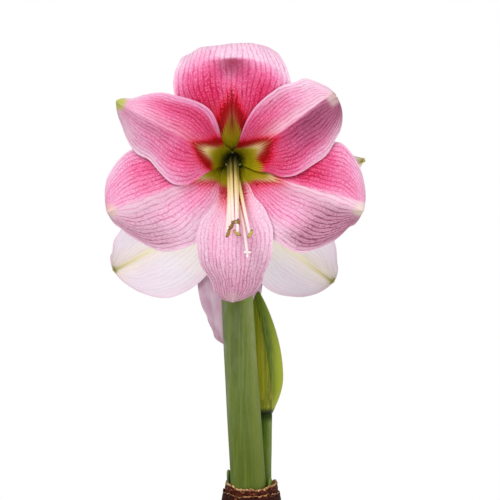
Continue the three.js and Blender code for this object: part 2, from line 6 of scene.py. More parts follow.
import bpy
import numpy as np
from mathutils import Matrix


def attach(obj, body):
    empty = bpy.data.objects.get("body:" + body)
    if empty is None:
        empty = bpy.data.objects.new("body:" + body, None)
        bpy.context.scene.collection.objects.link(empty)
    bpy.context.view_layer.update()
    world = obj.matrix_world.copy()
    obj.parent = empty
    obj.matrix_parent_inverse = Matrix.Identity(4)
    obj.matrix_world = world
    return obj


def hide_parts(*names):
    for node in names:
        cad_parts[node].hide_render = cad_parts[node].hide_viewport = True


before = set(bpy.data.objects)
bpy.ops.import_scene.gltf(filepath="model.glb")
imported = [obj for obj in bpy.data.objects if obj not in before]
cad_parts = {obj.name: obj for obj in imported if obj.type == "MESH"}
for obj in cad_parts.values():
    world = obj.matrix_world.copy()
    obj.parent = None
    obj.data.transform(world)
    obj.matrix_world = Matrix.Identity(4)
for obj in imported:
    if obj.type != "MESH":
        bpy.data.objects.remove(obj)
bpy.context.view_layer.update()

# Pot: thrown from red clay and fired without glaze, so it keeps the potter's finger rings and its pores.
# The thick collar stiffens the rim, and three holes in the floor let water drain.

POT = {"height": 125, "base": 50, "shoulder": 67, "rim": 75, "collar": 26, "step": 4, "wall": 6, "floor": 8}
DRAIN = {"radius": 4, "ring": 24, "count": 3, "below": -3.0, "above": 12.0, "sides": 32}
POT_MESH = {"sides": 144, "edge": 2.2, "cell": 1.6}  # `edge` rounds the pot's corners
AXIS = 0.4  # radius at which a turned outline starts beside its axis
MAP_SIDES = (0.002, 0.998)  # left and right margins of the bake map
FINGER_RINGS = {"depth": 0.14, "spacing": 4.6}


def around(count):
    """The angles of equal steps round a circle."""
    return np.arange(count) * 2 * np.pi / count


def linked(name, data):
    """A new object in the scene."""
    made = bpy.data.objects.new(name, data)
    bpy.context.scene.collection.objects.link(made)
    return made


def cells(grid):
    """The four corners of every cell of a grid, in order round the cell."""
    four = np.stack([grid[:-1, :-1], grid[:-1, 1:], grid[1:, 1:], grid[1:, :-1]], 2)
    return four.reshape(-1, 4, *grid.shape[2:])


def volume(points, faces):
    """Six times the volume that faces hold: a . (b x c) summed over their triangles, fanned from a corner."""
    a = points[faces]
    last = faces.shape[1] - 1
    return sum(np.einsum("ij,ij->", a[:, 0], np.cross(a[:, k], a[:, k + 1])) for k in range(1, last))


def skin(name, grid, ends="fan", sharp=50, **marks):
    """Closes a grid of points in mm (rows along the piece, columns round it) into one solid piece.

    Quads join each row to the next and wrap round. The end rows are closed by fans onto their middles
    ("fan"), by a strip across a flat loop ("strip"), or by joining the last row to the first ("loop").
    Faces turn outwards by the sign of the volume that they hold. Each mark becomes a point attribute, and
    the OFBake map lays the grid out flat, row by row, with the two ends above it.
    """
    rows, columns = grid.shape[:2]
    index = np.arange(rows * columns).reshape(rows, columns)
    ring = np.concatenate([index, index[:, :1]], 1)
    ring = np.concatenate([ring, ring[:1]]) if ends == "loop" else ring
    top = 0.94 if ends != "loop" else 1.0
    u, v = np.meshgrid(np.linspace(*MAP_SIDES, ring.shape[1]), np.linspace(MAP_SIDES[0], top, ring.shape[0]))
    faces, maps = [cells(ring)], [cells(np.stack([u, v], -1))]
    points = grid.reshape(-1, 3)
    values = {key: np.broadcast_to(value, (rows, columns)).ravel() for key, value in marks.items()}
    end_rows = ((index[0], -1, 0.95, 0.97), (index[-1], 1, 0.975, 0.995)) if ends != "loop" else ()
    for row, turn, low, high in end_rows:
        if ends == "fan":
            middle = np.full(columns, len(points))
            points = np.vstack([points, points[row].mean(0)])
            values = {key: np.append(value, value[row].mean()) for key, value in values.items()}
            place = np.linspace(*MAP_SIDES, columns + 1)
            fan = np.stack([row, np.roll(row, -1), middle], 1)
            across = (place[:-1], place[1:], (place[:-1] + place[1:]) / 2)
            up = [np.full(columns, height) for height in (low, low, high)]
            unrolled = np.stack([np.stack(pair, 1) for pair in zip(across, up)], 1)
        else:
            near, far = row[: columns // 2], row[::-1][: columns // 2]
            fan = np.stack([near[:-1], near[1:], far[1:], far[:-1]], 1)
            unrolled = cells(np.stack(np.meshgrid(np.linspace(*MAP_SIDES, len(near)), [low, high]), -1))
        faces.append(fan[:, ::turn])
        maps.append(unrolled[:, ::turn])
    if sum(volume(points, face) for face in faces) < 0:
        faces, maps = [f[:, ::-1] for f in faces], [m[:, ::-1] for m in maps]
    mesh = bpy.data.meshes.new(name)
    mesh.from_pydata((points / 1000).tolist(), [], [face for group in faces for face in group.tolist()])
    for key, value in values.items():
        mesh.attributes.new(key, "FLOAT", "POINT").data.foreach_set("value", value.astype(np.float32))
    chart = mesh.uv_layers.new(name="OFBake")
    chart.data.foreach_set("uv", np.concatenate([m.reshape(-1) for m in maps]).astype(np.float32))
    mesh.polygons.foreach_set("use_smooth", np.ones(len(mesh.polygons), bool))
    mesh.set_sharp_from_angle(angle=math.radians(sharp))
    return linked(name, mesh)


def settle(piece, finish, slot, *nodes):
    """Gives a piece its finish and its place on the root body, and hides the CAD parts that it stands for."""
    piece.data.materials.clear()
    piece.data.materials.append(finish)
    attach(piece, "root")
    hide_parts(*nodes)


def rounded(outline, radius, steps=6):
    """An outline of (r, z) points with each inner corner replaced by a quadratic curve: it leaves the line
    `radius` before the corner, or half the side where that is shorter, and bends towards the corner."""
    outline = np.array(outline, float)
    u = np.linspace(0, 1, steps)[:, None]
    made = [outline[:1]]
    for before, corner, after in zip(outline[:-2], outline[1:-1], outline[2:]):
        into, away = before - corner, after - corner
        start = corner + into * min(0.5, radius / np.linalg.norm(into))
        end = corner + away * min(0.5, radius / np.linalg.norm(away))
        made.append((1 - u) ** 2 * start + 2 * u * (1 - u) * corner + u**2 * end)
    return np.concatenate([*made, outline[-1:]])


def filled(outline, step):
    """The same outline with points added so that none is further than `step` from the next."""
    lengths = np.linalg.norm(np.diff(outline, axis=0), axis=1)
    counts = np.maximum(1, np.ceil(lengths / step)).astype(int)
    parts = [a + (b - a) * (np.arange(n)[:, None] / n) for a, b, n in zip(outline[:-1], outline[1:], counts)]
    return np.concatenate([*parts, outline[-1:]])


def turned(outline, sides):
    """Points of an (r, z) outline turned about the Z axis: x = r cos a, y = r sin a."""
    angle = around(sides)
    r, z = outline[:, :1], outline[:, 1:]
    return np.stack(np.broadcast_arrays(r * np.cos(angle), r * np.sin(angle), z), -1)


def tint(code):
    """The linear colour of a six-digit screen colour."""
    share = np.array([int(code[k : k + 2], 16) for k in (1, 3, 5)]) / 255
    return (*np.where(share <= 0.04045, share / 12.92, ((share + 0.055) / 1.055) ** 2.4), 1.0)


def feed(socket, value):
    """Sets a socket to a number, a colour code or a vector, or links another node's output to it."""
    if isinstance(value, bpy.types.NodeSocket):
        socket.id_data.links.new(value, socket)
    else:
        socket.default_value = tint(value) if isinstance(value, str) else value


def node(tree, kind, inputs=(), output=0, **settings):
    """Adds a shader node, sets its options, feeds its inputs by number or name, and returns one output."""
    made = tree.nodes.new("ShaderNode" + kind)
    for option, value in settings.items():
        setattr(made, option, value)
    for key, value in dict(inputs).items():
        feed(made.inputs[key], value)
    return made.outputs[output]


def maths(operation, *values, clamp=False):
    """One Math node: the operation on one to three values. It joins the tree of the first, a socket, as every
    helper below does."""
    return node(values[0].id_data, "Math", enumerate(values), operation=operation, use_clamp=clamp)


def times(first, *others):
    """The product of two or more values."""
    for other in others:
        first = maths("MULTIPLY", first, other)
    return first


def plus(first, *others):
    """The sum of two or more values."""
    for other in others:
        first = maths("ADD", first, other)
    return first


def blended(factor, first, second):
    """Two colours mixed by a factor from 0 to 1."""
    inputs = {0: factor, 6: first, 7: second}
    return node(factor.id_data, "Mix", inputs, output=2, data_type="RGBA", clamp_factor=True)


def rise(value, start, end, low=0.0, high=1.0):
    """A smooth step from `low` at `start` to `high` at `end`."""
    inputs = {0: value, 1: start, 2: end, 3: low, 4: high}
    return node(value.id_data, "MapRange", inputs, interpolation_type="SMOOTHSTEP")


def ramp(factor, *stops):
    """A colour that runs through (place, colour code) stops."""
    made = factor.id_data.nodes.new("ShaderNodeValToRGB")
    elements = made.color_ramp.elements
    for element, (place, code) in zip((elements[0], elements[-1]), (stops[0], stops[-1])):
        element.position, element.color = place, tint(code)
    for place, code in stops[1:-1]:
        elements.new(place).color = tint(code)
    feed(made.inputs[0], factor)
    return made.outputs[0]


def clouds(vector, scale, detail=3.0, roughness=0.55):
    """Soft noise from 0 to 1 on a vector."""
    inputs = {"Vector": vector, "Scale": scale, "Detail": detail, "Roughness": roughness}
    return node(vector.id_data, "TexNoise", inputs)


def stretched(vector, scale):
    """A vector with each of its axes scaled."""
    return node(vector.id_data, "Mapping", {"Vector": vector, "Scale": scale})


def here(tree):
    """Object coordinates, in metres."""
    return node(tree, "TexCoord", output=3)


def mark(tree, name):
    """A point attribute of the piece, as a number."""
    return node(tree, "Attribute", output=2, attribute_name=name)


def new_finish(name):
    """A material with a Principled shader: the material and its tree."""
    made = bpy.data.materials.new(name)
    made.use_nodes = True
    return made, made.node_tree


def shade(tree, colour, roughness, height=None, bump=(0.5, 0.0005), **shader):
    """Feeds the Principled shader its colour, its roughness, a Bump node on `height` and any plain values."""
    principled = tree.nodes["Principled BSDF"]
    feed(principled.inputs["Base Color"], colour)
    feed(principled.inputs["Roughness"], roughness)
    if height is not None:
        inputs = {"Strength": bump[0], "Distance": bump[1], "Height": height}
        feed(principled.inputs["Normal"], node(tree, "Bump", inputs))
    for name, value in shader.items():
        principled.inputs[name.replace("_", " ")].default_value = value


def pot_inside(z):
    """Radius of the pot's inner wall at height z."""
    share = (np.asarray(z, float) - POT["floor"]) / (POT["height"] - POT["floor"])
    return POT["base"] + (POT["rim"] - POT["base"]) * share - POT["wall"]


def pot_mesh():
    """The pot's outline with rounded corners, turned, with finger rings as a slow ripple up the wall."""
    collar = POT["height"] - POT["collar"]
    outline = [
        (AXIS, 0), (POT["base"], 0), (POT["shoulder"], collar), (POT["shoulder"] + POT["step"], collar + 2),
        (POT["rim"], POT["height"]), (pot_inside(POT["height"]), POT["height"]),
        (pot_inside(POT["floor"]), POT["floor"]), (AXIS, POT["floor"]),
    ]
    grid = turned(filled(rounded(outline, POT_MESH["edge"]), POT_MESH["cell"]), POT_MESH["sides"])
    radius = np.hypot(grid[..., 0], grid[..., 1])
    phase = 2 * np.pi * grid[..., 2] / FINGER_RINGS["spacing"] + 0.8 * np.sin(around(POT_MESH["sides"]))
    wall = np.clip((radius - 42) / 6, 0, 1)
    ripple = FINGER_RINGS["depth"] * wall * (np.sin(phase) + 0.5 * np.sin(2.3 * phase + 1.0) - 1)
    grid[..., :2] *= (1 + ripple / radius)[..., None]
    return skin("pot_body", grid, sharp=60)


def drilled(piece):
    """The piece with its drain holes cut through the floor, as a finished mesh."""
    radius, below, above = DRAIN["radius"], DRAIN["below"], DRAIN["above"]
    outline = filled(np.array([(0.2, below), (radius, below), (radius, above), (0.2, above)]), 4)
    cutters = []
    for k, angle in enumerate(around(DRAIN["count"]) + np.pi / 2):
        place = np.array([DRAIN["ring"] * np.cos(angle), DRAIN["ring"] * np.sin(angle), 0])
        cutters.append(skin(f"drain_cutter_{k}", turned(outline, DRAIN["sides"]) + place))
        cut = piece.modifiers.new(f"drain_{k}", "BOOLEAN")
        cut.operation, cut.solver, cut.object = "DIFFERENCE", "EXACT", cutters[-1]
    bpy.context.view_layer.update()
    whole = bpy.data.meshes.new_from_object(piece.evaluated_get(bpy.context.evaluated_depsgraph_get()))
    piece.modifiers.clear()
    piece.data = whole
    for cutter in cutters:
        bpy.data.objects.remove(cutter)


def clay_finish():
    """Fired clay: warm patches, fine sand, and pale lime bloom where water dries on the collar and foot."""
    finish, tree = new_finish("terracotta")
    at = here(tree)
    patches = clouds(at, 22, 4)
    sand = clouds(at, 900, 2, 0.7)
    colour = ramp(patches, (0.25, "#94502f"), (0.5, "#b2643d"), (0.75, "#c47c55"))
    colour = blended(rise(sand, 0.62, 0.72, 0, 0.35), colour, "#d9a27e")
    colour = blended(rise(sand, 0.36, 0.28, 0, 0.4), colour, "#7a3f26")
    up = node(tree, "SeparateXYZ", {0: at}, output=2)
    drying = plus(rise(up, 0.085, 0.12), rise(up, 0.022, 0.0))
    lime = times(drying, rise(clouds(at, 55, 6, 0.7), 0.48, 0.72))
    colour = blended(times(lime, 0.6), colour, "#e2cbb9")
    height = plus(sand, times(clouds(at, 160, 4), 1.5))
    shade(tree, colour, rise(patches, 0.3, 0.7, 0.78, 0.92), height, bump=(0.35, 0.0004))
    return finish


pot = pot_mesh()
drilled(pot)
settle(pot, clay_finish(), "clay", "pot")

# Compost: bark crumbs, peat and white grains of perlite, filled to a finger's width under the pot's rim.
# Its face is raised into crumbs, and loose ones lie on it. It keeps clear of the bulb that it holds.

BULB = {"bottom": 64, "widest": 110, "shoulder": 166}
BULB_STATIONS = [  # heights and radii
    (64, 20), (72, 33), (88, 43), (110, 46), (128, 43.5), (142, 37), (155, 30), (166, 26), (179.8, 22.8),
]
NECK = {"x": 2.8, "y": 2, "wide": 21.8, "deep": 25.5, "wall": 2.2, "rim": 187.8, "depth": 15}
SOIL = {"level": 113, "mound": 2.6, "gap": 0.3, "bulb_gap": 2.4, "cell": 6, "sides": 180}
CRUMBS = {"count": 620, "inner": 49.2, "outer": 64.6, "least": 0.5, "spread": 1.3, "seed": 11}
GRIT = {0.0: 0.72, 0.5: 0.2, 1.0: 0.08}  # the shares of peat, bark and perlite among the crumbs


def smoothed(value, start, end):
    """The smooth step 3x^2 - 2x^3 of how far value has come from start to end."""
    x = np.clip((np.asarray(value, float) - start) / (end - start), 0, 1)
    return x * x * (3 - 2 * x)


def bulb_wall(z, angle, grow=0.0):
    """A point on the bulb's outside, `grow` mm off it: a round section up to its widest height, which turns
    into the neck's oval one above. Radii follow a smooth line through the bulb's stations."""
    z = np.asarray(z, float)
    top, width = BULB_STATIONS[-1]
    stations = centreline([(r, 0, height) for height, r in BULB_STATIONS], 200)[0]
    wide = np.interp(z, stations[:, 2], stations[:, 0]) + grow
    neck = width + (NECK["wide"] - width) * np.clip((z - top) / 8, 0, 1) + grow
    wide = np.where(z > top, neck, wide)
    share = smoothed(z, BULB["widest"], BULB["shoulder"])
    deep = wide + share * (NECK["deep"] - NECK["wide"])
    x, y = NECK["x"] * share + wide * np.cos(angle), NECK["y"] * share + deep * np.sin(angle)
    return np.stack(np.broadcast_arrays(x, y, z), -1)


def unit(vectors):
    """The vectors at length one."""
    return vectors / np.linalg.norm(vectors, axis=-1, keepdims=True)


def centreline(knots, count):
    """A smooth line through knots, at `count` points spaced equally along it, and its unit tangents.

    Each stretch is a cubic whose end slopes weigh the chords on both sides by the square roots of their
    lengths.
    """
    knots = np.array(knots, float)
    longer = np.vstack([2 * knots[0] - knots[1], knots, 2 * knots[-1] - knots[-2]])
    p0, p1, p2, p3 = (longer[k : len(longer) - 3 + k, None] for k in range(4))
    chords = (p1 - p0, p2 - p1, p3 - p2)
    d0, d1, d2 = (np.linalg.norm(chord, axis=-1, keepdims=True) ** 0.5 for chord in chords)
    leave = ((p1 - p0) / d0 - (p2 - p0) / (d0 + d1) + (p2 - p1) / d1) * d1
    arrive = ((p2 - p1) / d1 - (p3 - p1) / (d1 + d2) + (p3 - p2) / d2) * d1
    u = np.linspace(0, 1, 80)[None, :, None]
    run = (2 * u**3 - 3 * u**2 + 1) * p1 + (u**3 - 2 * u**2 + u) * leave
    run = run + (3 * u**2 - 2 * u**3) * p2 + (u**3 - u**2) * arrive
    run = np.vstack([run[:, :-1].reshape(-1, 3), knots[-1:]])
    travelled = np.concatenate([[0], np.cumsum(np.linalg.norm(np.diff(run, axis=0), axis=1))])
    at = np.linspace(0, travelled[-1], count)
    line = np.stack([np.interp(at, travelled, run[:, k]) for k in range(3)], -1)
    return line, unit(np.gradient(line, axis=0))


def lumps(places, sizes, rng, rows=5, columns=7):
    """Small uneven stones in one array of grids: each a ball whose radius and three axes vary at random."""
    polar, angle = np.linspace(0.12, np.pi - 0.12, rows)[:, None], around(columns)
    x, y, z = np.sin(polar) * np.cos(angle), np.sin(polar) * np.sin(angle), np.cos(polar)
    ball = np.stack(np.broadcast_arrays(x, y, z), -1)
    uneven = rng.uniform(0.75, 1.2, (len(places), rows, columns, 1))
    axes = sizes[:, None] * rng.uniform(0.6, 1.25, (len(places), 3))
    turns = np.linalg.qr(rng.normal(size=(len(places), 3, 3)))[0]
    return np.einsum("nrci,nij->nrcj", ball * uneven * axes[:, None, None], turns) + places[:, None, None]


def joined(name, pieces):
    """One piece from several closed ones."""
    with bpy.context.temp_override(active_object=pieces[0], selected_editable_objects=pieces):
        bpy.ops.object.join()
    pieces[0].name = pieces[0].data.name = name
    return pieces[0]


def many(name, grids, **marks):
    """One mesh from an array of closed grids (count, rows, columns, 3), with a value of each mark apiece."""
    count, rows, columns = grids.shape[:3]
    index = np.arange(rows * columns).reshape(rows, columns)
    quads = cells(np.concatenate([index, index[:, :1]], 1))
    first, last = rows * columns, rows * columns + 1
    fans = np.concatenate([
        np.stack([np.roll(index[0], -1), index[0], np.full(columns, first)], 1),
        np.stack([index[-1], np.roll(index[-1], -1), np.full(columns, last)], 1),
    ])
    each = rows * columns + 2
    ends = grids[:, [0, -1]].mean(2)
    points = np.concatenate([grids.reshape(count, -1, 3), ends], 1)
    turn = -1 if volume(points[0], fans) + volume(points[0], quads) < 0 else 1
    shift = np.arange(count)[:, None, None] * each
    faces = (quads[:, ::turn] + shift).reshape(-1, 4).tolist()
    faces += (fans[:, ::turn] + shift).reshape(-1, 3).tolist()
    mesh = bpy.data.meshes.new(name)
    mesh.from_pydata((points.reshape(-1, 3) / 1000).tolist(), [], faces)
    for key, value in marks.items():
        spread = np.repeat(np.asarray(value, np.float32), each)
        mesh.attributes.new(key, "FLOAT", "POINT").data.foreach_set("value", spread)
    mesh.polygons.foreach_set("use_smooth", np.ones(len(mesh.polygons), bool))
    return linked(name, mesh)


def soil_body():
    """The compost's outline from the pot's floor up its wall, over its face and down the bulb's side,
    turned. The face is made crumbly by three products of waves in radius and angle."""
    low = POT["floor"] + SOIL["gap"]
    edge = float(pot_inside(SOIL["level"])) - SOIL["gap"]
    wall = [(AXIS, low), (float(pot_inside(low)) - SOIL["gap"], low), (edge, SOIL["level"])]
    inner = float(np.interp(SOIL["level"], *zip(*BULB_STATIONS))) + SOIL["bulb_gap"]
    steepness = SOIL["mound"] / (edge - inner)
    face = [(r, SOIL["level"] + steepness * (edge - r)) for r in np.linspace(edge, inner, 26)[1:]]
    cup = [(r + SOIL["bulb_gap"], z) for z, r in BULB_STATIONS[3::-1] if z < SOIL["level"] - 1]
    outline = filled(np.array([*wall, *face, *cup, (AXIS, BULB["bottom"] - SOIL["gap"])]), SOIL["cell"])
    grid, angle, radius = turned(outline, SOIL["sides"]), around(SOIL["sides"]), outline[:, :1]
    on_face = (outline[:, 1:] > SOIL["level"] - 0.01) * smoothed(radius, inner - 1, inner + 2)
    rough = sum(
        size * np.sin(radius * f + g * angle + p) * np.cos(radius * f * 0.7 - (g + 3) * angle + 2 * p)
        for size, f, g, p in ((0.9, 0.55, 9, 0.3), (0.7, 1.1, 21, 1.9), (0.5, 1.9, 44, 4.1))
    )
    grid[..., 2] += rough * on_face * smoothed(radius, edge, edge - 2)
    return skin("compost", grid, sharp=80, grit=0.0)


def soil_finish():
    """Damp peat and bark, dark and rough, with fibres; grit 1 is white perlite and 0.5 a paler bark chip."""
    finish, tree = new_finish("compost")
    at = here(tree)
    grain = clouds(at, 420, 5, 0.7)
    dark = ramp(grain, (0.3, "#1d130c"), (0.5, "#33241a"), (0.72, "#54402e"))
    bark = ramp(clouds(stretched(at, (1, 1, 4)), 260, 3), (0.3, "#4b2f1b"), (0.7, "#8a6340"))
    grit = mark(tree, "grit")
    colour = blended(rise(grit, 0.3, 0.45), dark, bark)
    colour = blended(rise(grit, 0.7, 0.9), colour, ramp(grain, (0.3, "#b9b4aa"), (0.6, "#ece9e1")))
    shade(tree, colour, rise(grain, 0.3, 0.7, 0.8, 1.0), grain, bump=(0.9, 0.0012))
    return finish


def loose_crumbs():
    """Crumbs on the ring between bulb and pot: even over its area, with few large ones and many small."""
    rng = np.random.default_rng(CRUMBS["seed"])
    count, inner, outer = CRUMBS["count"], CRUMBS["inner"], CRUMBS["outer"]
    radius = np.sqrt(rng.uniform(inner**2, outer**2, count))
    angle = rng.uniform(0, 2 * np.pi, count)
    size = CRUMBS["least"] + CRUMBS["spread"] * rng.uniform(0, 1, count) ** 3
    z = SOIL["level"] + SOIL["mound"] * (outer - radius) / (outer - inner) + size * 0.35
    places = np.stack([radius * np.cos(angle), radius * np.sin(angle), z], -1)
    grit = rng.choice(list(GRIT), count, p=list(GRIT.values()))
    return many("loose_crumbs", lumps(places, size, rng), grit=grit)


soil = joined("compost", [soil_body(), loose_crumbs()])
settle(soil, soil_finish(), "soil", "soil")

# Bulb: fleshy scales wrapped in dry brown tunics. The body narrows to an oval neck whose torn rim shows the
# pale edges of the scales, and three thin papery tunics lie over it, split and ragged at the top.

TUNICS = {
    # height of the torn top edge and of the hidden lower edge, distance off the bulb, how much it is torn and
    # how far the torn edge lifts, and where its tears start
    "tunic_outer": {"top": 148, "foot": 107, "off": 1.15, "torn": 9.0, "lift": 2.4, "start": 0.4},
    "tunic_middle": {"top": 170, "foot": 108, "off": 0.75, "torn": 5.0, "lift": 1.6, "start": 2.1},
    "tunic_inner": {"top": 181.3, "foot": 109, "off": 0.35, "torn": 1.5, "lift": 0.9, "start": 4.4},
}
TUNIC = {"thickness": 0.3, "rows": 60, "sides": 220}
BULB_SKIN = 0.35  # the fleshy body lies this far inside the CAD outline, under its tunics
BULB_SIDES = 216


def neck_rim(angle):
    """Height of the torn rim: a saddle with seven low teeth."""
    teeth = 0.6 * np.sin(7 * angle + 0.6) + 0.3 * np.sin(16 * angle + 2) + 0.2 * np.sin(31 * angle)
    return NECK["rim"] + 1.5 * np.cos(2 * angle) + teeth


def bulb_mesh():
    """The bulb from its plate to the rim, over the rim and down the inside of the neck, ribbed along its
    scales."""
    angle = around(BULB_SIDES)
    heights = np.concatenate([np.linspace(BULB["bottom"] + 0.2, 178, 66), np.linspace(179, 186, 8)])
    rim = neck_rim(angle)
    outside = bulb_wall(heights[:, None], angle, -BULB_SKIN)
    share = np.clip((heights[:, None] - 160) / 26, 0, 1)
    outside[..., 2] += share * (rim - NECK["rim"])
    ribs = 0.16 * np.sin(34 * angle + 2 * np.sin(3 * angle)) * smoothed(heights, 80, 120)[:, None]
    fray = 0.35 * np.sin(23 * angle) + 0.25 * np.sin(51 * angle + 1)
    near_rim = np.clip((heights[:, None] - 178) / 8, 0, 1)
    wander = 3 * np.sin(5 * angle) + 2 * np.sin(11 * angle)
    ribs = ribs + 0.3 * near_rim * np.sin(1.9 * heights[:, None] + wander)

    def neck(inset, z):
        x = NECK["x"] + (NECK["wide"] - inset) * np.cos(angle)
        y = NECK["y"] + (NECK["deep"] - inset) * np.sin(angle)
        return np.stack(np.broadcast_arrays(x, y, z), -1)

    across = np.stack([np.cos(angle), np.sin(angle)], -1)
    outside[..., :2] += ribs[..., None] * across
    lip = [neck(0.35, rim - 0.9), neck(0.5, rim - 0.2 + 0.4 * fray)]
    lip += [neck(1.0, rim + 0.3 * fray), neck(1.7, rim - 0.5)]
    well = [neck(NECK["wall"], z) for z in np.linspace(NECK["rim"] - 3, NECK["rim"] - NECK["depth"], 12)]
    floor = [neck(inset, NECK["rim"] - NECK["depth"]) for inset in (6, 12, 17)]
    grid = np.concatenate([outside, lip, well, floor])
    torn = np.zeros(len(grid))
    torn[len(outside) - 8 : len(outside)] = np.linspace(0.1, 0.85, 8)
    torn[len(outside) : len(outside) + len(lip) + 3] = 1
    torn[len(outside) + len(lip) + 3 :] = 0.6
    return skin("bulb_body", grid, sharp=80, torn=torn[:, None])


def bell(value, width):
    """The bell curve exp(-(value / width)^2)."""
    return np.exp(-((value / width) ** 2))


def tunic_mesh(name, top, foot, off, torn, lift, start):
    """A papery layer round the bulb: its top edge is a sum of slow and quick waves with a few deep tears,
    and it stands further off the bulb towards that edge, in lobes. Its outline is a loop, so the shell is
    closed."""
    angle = around(TUNIC["sides"])
    waves = 0.45 * np.sin(3 * angle + start) + 0.3 * np.sin(8 * angle + 2 * start)
    waves = waves + 0.16 * np.sin(29 * angle + start)
    tears = -2.2 * bell(np.sin(1.5 * angle + start), 0.07) - 0.9 * bell(np.sin(2.5 * angle - start), 0.05)
    edge = top + torn * (waves + 0.7 * tears)
    share = np.linspace(0, 1, TUNIC["rows"] + 1)[:, None] ** 0.8
    z = foot + (edge - foot) * share
    lobes = 0.55 + 0.45 * np.sin(5 * angle + 3 * start) * np.cos(2 * angle - start)
    stand = off + lift * lobes * np.clip((share - 0.72) / 0.28, 0, 1) ** 2.2
    fibres = 0.05 * np.sin(70 * angle + 3 * np.sin(4 * angle)) + 0.12 * np.sin(11 * angle + 9 * share + start)
    crumple = np.sin(1.7 * (edge - z) + 3 * np.sin(6 * angle + start) + 2 * np.sin(13 * angle))
    fibres = fibres + 0.25 * np.clip(1 - (edge - z) / 9, 0, 1) * crumple
    inner = bulb_wall(z, angle, stand + fibres)
    outer = bulb_wall(z, angle, stand + fibres + TUNIC["thickness"])
    grid = np.concatenate([inner, outer[::-1]])
    near = np.clip(1 - (edge - z) / 6, 0, 1)
    return skin(name, grid, ends="loop", sharp=70, torn=np.concatenate([near, near[::-1]]))


def papery_colour(tree, dark, warm, pale):
    """Dry tunic: dark skin streaked along its fibres with warm patches where the outer film has flaked
    away, and a pale torn edge. Gives the colour and a height for the fibres."""
    at = here(tree)
    fibre = clouds(stretched(at, (1, 1, 0.09)), 420, 4, 0.65)
    flakes = clouds(stretched(at, (1, 1, 0.45)), 70, 5, 0.65)
    colour = ramp(fibre, (0.3, dark), (0.55, warm), (0.8, dark))
    colour = blended(rise(flakes, 0.56, 0.66, 0, 0.4), colour, "#6a341c")
    colour = blended(rise(flakes, 0.44, 0.36, 0, 0.8), colour, "#2a0f0a")
    near = mark(tree, "torn")
    crumple = clouds(stretched(at, (1, 1, 2.2)), 300, 3, 0.6)
    folded = rise(near, 0.15, 0.8)
    colour = blended(times(rise(crumple, 0.52, 0.64, 0, 0.65), folded), colour, "#a05c38")
    colour = blended(times(rise(crumple, 0.46, 0.34, 0, 0.85), folded), colour, "#260503")
    grain = maths("MULTIPLY_ADD", crumple, 0.6, near)
    colour = blended(rise(grain, 1.12, 1.34), colour, blended(rise(fibre, 0.4, 0.6), pale, "#8e5632"))
    return colour, plus(fibre, flakes)


def tunic_finish(name, dark, warm, pale, roughness):
    """One papery layer: satin, with fibre relief."""
    finish, tree = new_finish(name)
    colour, height = papery_colour(tree, dark, warm, pale)
    shade(tree, colour, roughness, height, bump=(0.6, 0.0006), Specular_IOR_Level=0.08)
    return finish


bulb = bulb_mesh()
settle(bulb, tunic_finish("bulb_scales", "#240803", "#42160b", "#dfb983", 0.6), "tunic", "bulb")
TUNIC_COLOURS = {
    "tunic_outer": ("#280d04", "#542a10", "#c09466", 0.62),
    "tunic_middle": ("#200703", "#42170a", "#c08e5e", 0.6),
    "tunic_inner": ("#180402", "#320e06", "#cf9f6c", 0.6),
}
for name, shape in TUNICS.items():
    settle(tunic_mesh(name, **shape), tunic_finish(name, *TUNIC_COLOURS[name]), "tunic")

# Stalks: the flower scape and the shorter bud scape are leafless hollow reeds, a little flattened, with fine
# ribs and a waxy bloom that greys their skin. They stand in the bulb's neck and are cut level at the top.

STALKS = {
    "flower_scape": {
        "foot": (2.3, -8, 152), "top": (-12.4, -7, 398), "bow": (0, 0, 0), "foot_radius": 14.9,
        "top_radius": 12.5,
    },
    "bud_scape": {
        "foot": (9, 13.5, 152), "top": (10.5, 21, 244), "bow": (0, -0.5, 0), "foot_radius": 10.3,
        "top_radius": 9.9,
    },
}
STALK_FLATNESS = 0.84
STALK_GRID = (70, 136)
STALK_RIBS = {"count": 34, "depth": 0.07}


def pipe(line, slope, radius, sides, flatness=1.0, swell=0.0):
    """Rings round a line: each is an ellipse square to the slope, `radius` wide and flatness times that
    deep, with its radius grown by the share `swell`, which may vary with the row and the angle."""
    wide = unit(np.array([1.0, 0, 0]) - slope * slope[:, :1])
    deep = np.cross(slope, wide)
    angle = around(sides)
    reach = (np.broadcast_to(radius, len(line))[:, None] * (1 + swell))[..., None]
    ring = wide[:, None] * np.cos(angle)[:, None] + flatness * deep[:, None] * np.sin(angle)[:, None]
    return line[:, None] + reach * ring


def stalk_mesh(name, foot, top, bow, foot_radius, top_radius):
    """A reed from its foot in the bulb to its level cut, with shallow ribs that wander a little round it."""
    foot, top = np.array(foot, float), np.array(top, float)
    rows, sides = STALK_GRID
    line, slope = centreline([foot, (foot + top) / 2 + bow, top], rows)
    u, angle = np.linspace(0, 1, rows)[:, None], around(sides)
    wander = 1.5 * np.sin(2 * angle + 3 * u)
    ribs = STALK_RIBS["depth"] / top_radius * np.sin(STALK_RIBS["count"] * angle + wander)
    uneven = 0.006 * np.sin(9 * u + angle) + 0.004 * np.sin(21 * u - 2 * angle)
    radius = foot_radius + (top_radius - foot_radius) * u[:, 0]
    grid = pipe(line, slope, radius, sides, STALK_FLATNESS, ribs + uneven)
    grid[..., 2] = np.minimum(grid[..., 2], top[2])
    return skin(name, grid, sharp=60, along=u, side=np.cos(angle)[None])


